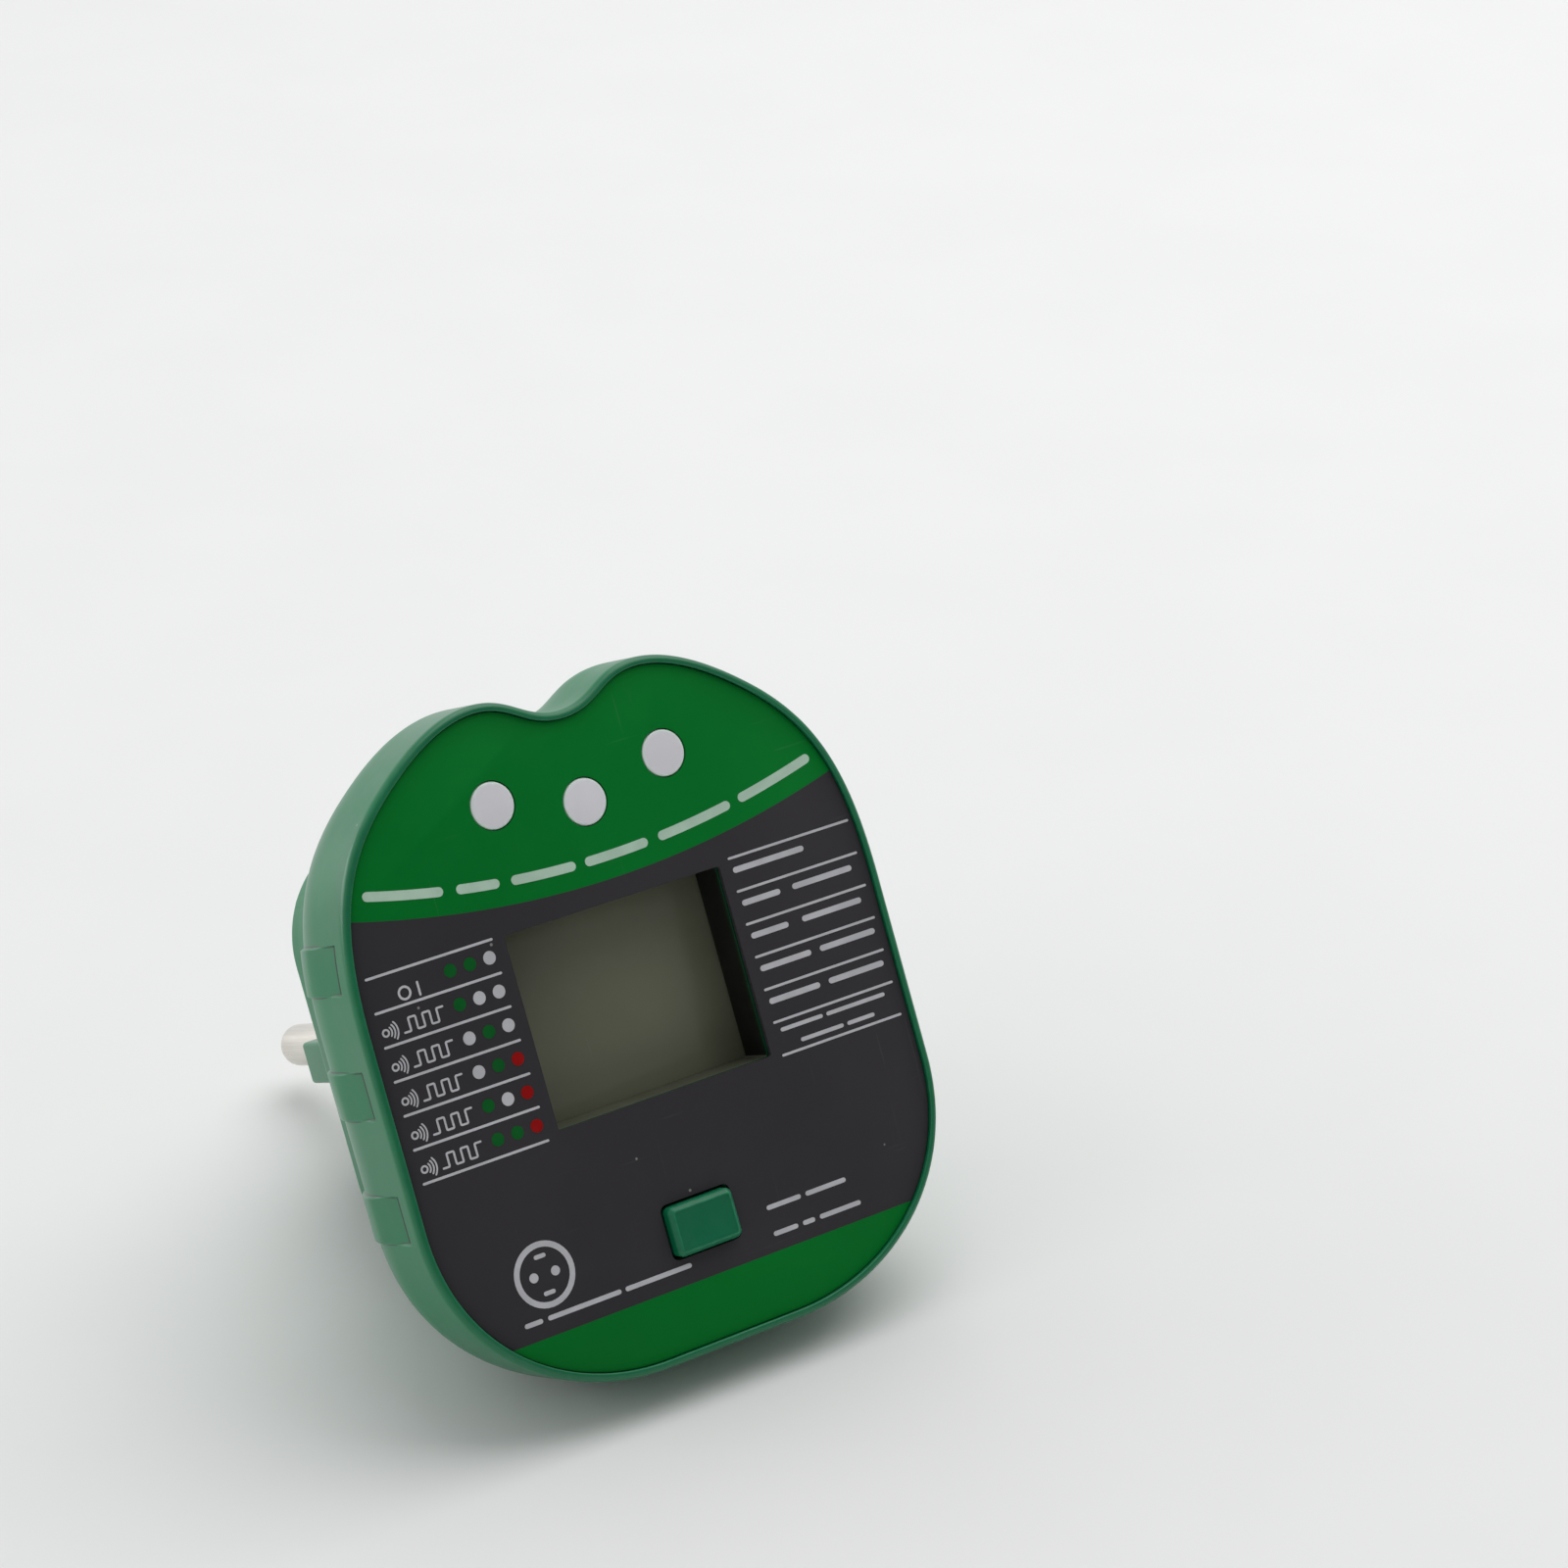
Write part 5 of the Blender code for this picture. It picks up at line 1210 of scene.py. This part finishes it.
def makeScrew(node, title, headRadius, shankRadius, outward):
    # a pan head with a cross recess, and a thread: the shank's radius follows (height / pitch + turn) mod 1
    s = screw
    low, high, middle = nodeBox(node)
    top = high[1] - low[1]
    underHead = top - s["head"]
    heights = np.linspace(underHead - 0.4, 0.9, 90)
    crown = softCorners([(0.0, top), (headRadius - 0.35, top), (headRadius, top - 0.55),
                         (headRadius, underHead), (shankRadius + 0.1, underHead),
                         (shankRadius, underHead - 0.35)], 0.25, 4)
    shank = np.stack([np.full(len(heights), shankRadius), heights], axis=1)
    tip = [(shankRadius * 0.75, 0.45), (0.25, 0.02), (0.0, 0.0)]
    profile = np.vstack([crown, shank, tip])

    def thread(height, angle):
        onShank = np.clip((underHead - 0.5 - height) / 0.5, 0, 1) * np.clip((height - 0.5) / 0.6, 0, 1)
        turn = (height / s["pitch"] + angle / (2 * math.pi)) % 1.0
        return onShank * s["threadDepth"] * (1 - 2 * np.abs(turn - 0.5))

    base = low[1] if outward > 0 else high[1]
    mesh = meshOf([turnedSolid(profile, middle[0], middle[2], base, outward, 32, thread)])
    arm, half = (headRadius * share for share in s["cross"])
    quarter = np.array([(arm, half), (half, half), (half, arm)])
    cross = np.vstack([quarter, quarter[::-1] * (-1, 1), -quarter, quarter[::-1] * (1, -1)])
    centre = np.array((middle[0], middle[2]))
    face = base + outward * top
    recess = loftSolid([cross * 0.4 + centre, cross * 1.1 + centre],
                       [face - outward * s["crossDepth"], face + outward * 0.2])
    mesh = carve(mesh, [recess], "DIFFERENCE")
    placePiece(title, mesh, "steel", replaced=[node], angle=40)


def makeScrews():
    for k in (1, 2, 3, 4):
        makeScrew("case_screw_%d" % k, "caseScrew%d" % k, 2.25, 0.95, 1)
        makeScrew("board_screw_%d" % k, "boardScrew%d" % k, 2.0, 0.75, 1)
    for k in (1, 2):
        makeScrew("plug_screw_%d" % k, "plugScrew%d" % k, 2.2, 0.95, -1)


makePlug()
makePins()
makeEarthStrap()
makeRetainer()
makeScrews()
print("plug, pins, contacts and screws made")


board = {"inset": 3.7, "soft": 0.1, "postHole": 3.4, "screwHole": 1.3}


def makeBoard():
    # the case's outline moved in, cut for the case's posts and for its own screws
    s = board
    low, high, _ = nodeBox("main_board")
    rings = [caseRing(s["inset"] + more, evenStations) for more in (s["soft"], 0.0, 0.0, s["soft"])]
    mesh = meshOf([loftSolid(rings, [low[1], low[1] + s["soft"], high[1] - s["soft"], high[1]])])
    cuts = roundHoles(caseScrews, s["postHole"], low[1] - 1, high[1] + 1, 40)
    cuts += roundHoles(boardScrews, s["screwHole"], low[1] - 1, high[1] + 1)
    mesh = carve(mesh, cuts, "DIFFERENCE")
    placePiece("boardPlate", mesh, "board", replaced=["main_board"])


chipLeg = {"halfWide": 0.15, "thick": 0.2, "inward": 0.2, "outward": 0.4, "under": 0.45}


def makeChip(node, title, legs, pitch):
    # a moulded body with a dot at one corner, and flat legs along two of its edges
    s = chipLeg
    low, high, middle = nodeBox(node)
    mesh = meshOf([softBlock(low + (0.3, 0.15, 0.3), high - (0.3, 0, 0.3), 0.15, 0.2, 2)])
    dot = turnedSolid([(0.35, 0), (0.45, 0.4)], low[0] + 1.2, high[2] - 1.2, high[1] - 0.12, 1, 24)
    placePiece(title, carve(mesh, [dot], "DIFFERENCE"), "black", replaced=[node])
    offsets = (np.arange(legs) - (legs - 1) / 2) * pitch
    pins = []
    for side in (-1, 1):
        x = middle[0] + side * (high[0] - middle[0] - s["under"])
        for z in middle[2] + offsets:
            pins.append(softBlock((x - s["inward"], low[1], z - s["halfWide"]),
                                  (x + s["outward"], low[1] + s["thick"], z + s["halfWide"]), 0.05, 0.04, 2))
    placePiece(title + "Legs", meshOf(pins), "steel")


turnedParts = {  # radius and height from the board, from the top's middle outwards and down
    "buzzer": [(0.0, 5.6), (0.9, 5.6), (1.0, 5.7), (1.0, 7.0), (2.4, 7.0), (2.6, 6.8), (2.9, 6.8), (3.1, 7.0),
               (5.6, 7.0), (6.0, 6.6), (6.0, 0.0), (0.0, 0.0)],
    "electrolytic_capacitor": [(0.0, 9.35), (2.7, 9.35), (2.9, 9.6), (3.5, 9.6), (4.0, 9.1), (4.0, 1.6),
                               (3.7, 1.2), (4.0, 0.8), (4.0, 0.0), (0.0, 0.0)],
}


def makeTurnedParts():
    low, high, middle = nodeBox("buzzer")
    sounder = softCorners(turnedParts["buzzer"], 0.12, 3)
    mesh = meshOf([turnedSolid(sounder, middle[0], middle[2], low[1], 1, 72)])
    placePiece("sounderCan", mesh, "black", replaced=["buzzer"])
    low, high, middle = nodeBox("electrolytic_capacitor")
    can = softCorners(turnedParts["electrolytic_capacitor"], 0.18, 4)
    mesh = meshOf([turnedSolid(can, middle[0], middle[2], low[1], 1, 64)])
    placePiece("smoothingCap", mesh, "sleeve", replaced=["electrolytic_capacitor"])
    low, high, middle = nodeBox("switch_plunger")
    length, radius = high[1] - low[1], 1.55
    plunger = softCorners([(0, length), (radius, length), (radius, 0), (0, 0)], 0.2, 4)
    mesh = meshOf([turnedSolid(plunger, middle[0], middle[2], high[1], -1, 48)])
    placePiece("switchPlunger", mesh, "black", "button", ["switch_plunger"])


def makeSwitch(wellRadius=1.9):
    # a block with a round well for the plunger, and a plate with the same hole over it
    low, high, middle = nodeBox("switch_body")
    well = roundHoles([(middle[0], middle[2])], wellRadius, low[1] - 1.0, high[1] - 0.6, 48)
    mesh = carve(meshOf([softBlock(low, high, 0.4, 0.15, 3)]), well, "DIFFERENCE")
    placePiece("switchBase", mesh, "black", replaced=["switch_body"])
    low, high, middle = nodeBox("switch_cover")
    hole = roundHoles([(middle[0], middle[2])], wellRadius, low[1] - 1.0, high[1] + 1.0, 48)
    mesh = carve(meshOf([softBlock(low, high, 0.5, 0.06, 2)]), hole, "DIFFERENCE")
    placePiece("switchPlate", mesh, "steel", replaced=["switch_cover"])


def axialSolid(x, axisY, z, profile, sides=40):
    # radius r at distance h along X: (x + h, axisY + r cos a, z + r sin a)
    profile = np.asarray(profile, float)
    angle = np.linspace(0, 2 * math.pi, sides, endpoint=False)[None, :]
    radius = np.repeat(profile[:, :1], sides, axis=1)
    along = np.broadcast_to(x + profile[:, 1:2], radius.shape)
    return gridSolid(np.stack([along, axisY + radius * np.cos(angle), z + radius * np.sin(angle)], axis=-1))


axialParts = (  # CAD part, piece, finish, slot, radius and half length
    ("test_resistor_1", "loadResistor1", "resistor", "resistor_coat", 1.8, 5.0),
    ("test_resistor_2", "loadResistor2", "resistor", "resistor_coat", 1.8, 5.0),
    ("fuse", "leadFuse", "ceramic", "fuse_glass", 1.4, 3.6),
)
lead = {"radius": 0.4, "reach": 2.0, "bend": 0.8}


def makeAxialParts():
    # a barrel with swollen ends, and one lead through it that bends down to the board at each end
    boardY = nodeBox("main_board")[1][1] + gap
    for node, title, look, slot, radius, half in axialParts:
        middle = nodeBox(node)[2]
        axisY, reach = boardY + radius + lead["radius"], half + lead["reach"]
        ends = [(0.0, half), (radius * 0.8, half), (radius, half - 0.5), (radius, half - 1.3),
                (radius * 0.9, half - 1.7)]
        profile = softCorners(ends + [(r, -h) for r, h in ends[::-1]], 0.3, 4)
        mesh = meshOf([axialSolid(middle[0], axisY, middle[2], profile)])
        bent = [(-reach, boardY), (-reach, axisY), (reach, axisY), (reach, boardY)]
        bent = softCorners(bent, lead["bend"], 6)
        route = np.stack([middle[0] + bent[:, 0], bent[:, 1], np.full(len(bent), middle[2])], axis=1)
        mesh = carve(mesh, [tubeSolid(route, lead["radius"], 14)], "UNION")
        placePiece(title, mesh, look, replaced=[node])


def makeWires(radius=0.8, tailX=9.5):
    # each runs from its contact's tail to the board
    tail = nodeBox("neutral_pin")[0][1] - 0.3
    boardY = nodeBox("main_board")[1][1] + 0.7
    strapY = nodeBox("earth_bracket")[0][1] - 0.4
    routes = {
        "live": [(-tailX, tail, 0), (-tailX, tail - 2.2, 0.8), (-8.6, -35.5, 6.5), (-8.4, boardY, 9)],
        "neutral": [(tailX, tail, 0), (tailX, tail - 2.2, 0.8), (8.6, -35.5, 6.5), (8.4, boardY, 9)],
        "earth": [(0, strapY, -11), (0.5, strapY - 2, -11), (7.5, -34.5, -11), (9, boardY, -10)],
    }
    for name, route in routes.items():
        mesh = meshOf([tubeSolid(smoothRoute(route, 50), radius, 24)])
        placePiece(name + "Wire", mesh, name + "Cover", replaced=[name + "_wire"])


smallBlocks = (  # CAD part, piece, finish, slot, corner radius and edge radius
    ("lcd_reflector", "displayReflector", "foil", "reflector_foil", 0.2, 0.05),
    ("contact_strip", "rubberContact", "rubber", "contact_rubber", 0.3, 0.2),
    ("film_capacitor", "filmCap", "yellow", "capacitor_yellow", 0.8, 0.5),
)


def makeSmallBlocks(frameWidth=0.8):
    for node, title, look, slot, corner, edge in smallBlocks:
        low, high, _ = nodeBox(node)
        placePiece(title, meshOf([softBlock(low, high, corner, edge, 4)]), look, replaced=[node])
    low, high, middle = nodeBox("lcd_holder")
    opening = roundedRing(0, middle[2], high[0] - frameWidth, high[2] - middle[2] - frameWidth, 0.1)
    hole = prism(opening, low[1] - 1, high[1] + 1)
    mesh = carve(meshOf([softBlock(low, high, 0.9, 0.15, 3)]), [hole], "DIFFERENCE")
    placePiece("displayHolder", mesh, "holder", replaced=["lcd_holder"])


makeBoard()
makeChip("controller_chip", "controllerChip", 12, 0.65)
makeChip("bridge_rectifier", "bridgeRectifier", 2, 2.5)
makeTurnedParts()
makeSwitch()
makeAxialParts()
makeWires()
makeSmallBlocks()
print("inside parts made")


def restingPlane():
    # the tester leans back on its plug: the tilt at which the lowest point passes from plug to case
    points = np.array([vertex.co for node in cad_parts.values() for vertex in node.data.vertices])
    tilts = np.radians(np.linspace(15, 45, 301))
    up = np.stack([np.zeros_like(tilts), -np.sin(tilts), np.cos(tilts)], axis=1)
    lowest = (points @ up.T).argmin(axis=0)
    onPlug = points[lowest, 1] > (backY + 5.0) * mm
    k = int(np.argmax(onPlug != onPlug[0]))
    return Vector(up[k]), float(points[lowest[k]] @ up[k])


floorSet = {"radius": 0.95, "fadeFrom": 0.55, "rings": 60, "sides": 96, "colour": tone(232, 232, 231)}


def makeFloor():
    # a flat disc r * (cos a, sin a) in the resting plane, its rim fading out
    up, height = restingPlane()
    s = floorSet
    centre = up * height
    side = Vector((1, 0, 0))
    ahead = up.cross(side)
    radius = np.linspace(0, 1, s["rings"])[:, None] * s["radius"]
    angle = np.linspace(0, 2 * math.pi, s["sides"], endpoint=False)[None, :]
    points = (np.array(centre) + (radius * np.cos(angle))[..., None] * np.array(side)
              + (radius * np.sin(angle))[..., None] * np.array(ahead)).reshape(-1, 3)
    mesh = bpy.data.meshes.new("studioFloor")
    mesh.from_pydata(points.tolist(), [], gridQuads(s["rings"], s["sides"]).tolist())
    fade = np.clip((s["radius"] - np.repeat(radius[:, 0], s["sides"])) / (s["radius"] - s["fadeFrom"]), 0, 1)
    mesh.attributes.new("fade", "FLOAT", "POINT").data.foreach_set("value", fade.astype(np.float32))
    bm = bmesh.new()
    bm.from_mesh(mesh)
    bmesh.ops.remove_doubles(bm, verts=bm.verts, dist=1e-6)
    bm.normal_update()
    if sum((face.normal for face in bm.faces), Vector()).dot(up) < 0:
        bmesh.ops.reverse_faces(bm, faces=bm.faces)
    bm.to_mesh(mesh)
    bm.free()
    floor = bpy.data.objects.new("studioFloor", mesh)
    bpy.context.scene.collection.objects.link(floor)
    material = bpy.data.materials.new("studioFloor")
    material.use_nodes = True
    tree = material.node_tree
    shader = tree.nodes["Principled BSDF"]
    mottled = ramp(tree, noise(tree, 35.0, 3.0), 0.3, 0.7, 0.994, 1.006)
    colour = mixColour(tree, 1.0, s["colour"], greyColour(tree, mottled), "MULTIPLY")
    tree.links.new(colour, shader.inputs["Base Color"])
    shader.inputs["Roughness"].default_value = 0.9
    shader.inputs["Specular IOR Level"].default_value = 0.1
    shown = addNode(tree, "Attribute", attribute_name="fade").outputs["Fac"]
    front = calc(tree, "SUBTRACT", 1.0, addNode(tree, "NewGeometry").outputs["Backfacing"])
    smooth = ramp(tree, shown, 0.0, 1.0)
    see = addNode(tree, "MixShader", {0: times(tree, smooth, front)})
    tree.links.new(addNode(tree, "BsdfTransparent").outputs[0], see.inputs[1])
    tree.links.new(shader.outputs[0], see.inputs[2])
    tree.links.new(see.outputs[0], tree.nodes["Material Output"].inputs["Surface"])
    mesh.materials.append(material)


def addPanel(name, towards, place, size, power):
    panel = bpy.data.lights.new(name, "AREA")
    panel.shape = "RECTANGLE"
    panel.size, panel.size_y = size
    panel.energy = power
    holder = bpy.data.objects.new(name, panel)
    holder.location = place
    holder.rotation_mode = "QUATERNION"
    holder.rotation_quaternion = (Vector(towards) - Vector(place)).to_track_quat("-Z", "Y")
    bpy.context.scene.collection.objects.link(holder)


lightPanels = {  # name: direction from the object, distance, size, watts
    "overhead": ((0.45, -0.3, 1.0), 1.2, (1.3, 1.3), 11.0),
    "leftWindow": ((-0.8, 0.7, 0.22), 0.85, (0.8, 0.8), 4.6),
    "rightFill": ((1.0, -0.4, 0.3), 1.1, (0.8, 0.8), 0.8),
}
air = {"weak": 0.24, "strong": 0.92, "tint": (0.97, 0.985, 1.0, 1.0), "backdrop": tone(236, 237, 238)}


def lightScene():
    # three panels, and a surround whose strength rises towards Y - X / 2; what the camera sees of it is plain
    middle = Vector((0, -0.035, 0))
    for name, (direction, distance, size, power) in lightPanels.items():
        addPanel(name, middle, middle + Vector(direction).normalized() * distance, size, power)
    world = bpy.data.worlds.new("studioAir")
    world.use_nodes = True
    tree = world.node_tree
    background = tree.nodes["Background"]
    heading = addNode(tree, "SeparateXYZ", {0: addNode(tree, "TexCoord").outputs["Generated"]}).outputs
    bearing = calc(tree, "SUBTRACT", heading["Y"], times(tree, heading["X"], 0.5))
    strength = ramp(tree, bearing, -0.8, 0.6, air["weak"], air["strong"])
    tree.links.new(strength, background.inputs["Strength"])
    background.inputs["Color"].default_value = air["tint"]
    seen = addNode(tree, "Background", {"Color": air["backdrop"], "Strength": 1.0})
    choose = addNode(tree, "MixShader", {0: addNode(tree, "LightPath").outputs["Is Camera Ray"]})
    tree.links.new(background.outputs[0], choose.inputs[1])
    tree.links.new(seen.outputs[0], choose.inputs[2])
    tree.links.new(choose.outputs[0], tree.nodes["World Output"].inputs["Surface"])
    bpy.context.scene.world = world
    bpy.context.scene.view_settings.view_transform = "Standard"


cameraSet = {
    "place": (-0.19662, -0.45465, 0.05007), "turn": (85.766, 15.407, -29.705), "lens": 101.25, "sensor": 36.0,
}


def addCamera():
    data = bpy.data.cameras.new("productCamera")
    data.lens = cameraSet["lens"]
    data.sensor_width = cameraSet["sensor"]
    data.clip_start, data.clip_end = 0.01, 20.0
    camera = bpy.data.objects.new("productCamera", data)
    camera.location = cameraSet["place"]
    camera.rotation_euler = Euler([math.radians(angle) for angle in cameraSet["turn"]], "XYZ")
    bpy.context.scene.collection.objects.link(camera)
    bpy.context.scene.camera = camera


makeFloor()
lightScene()
addCamera()
print("floor, lights and camera set")
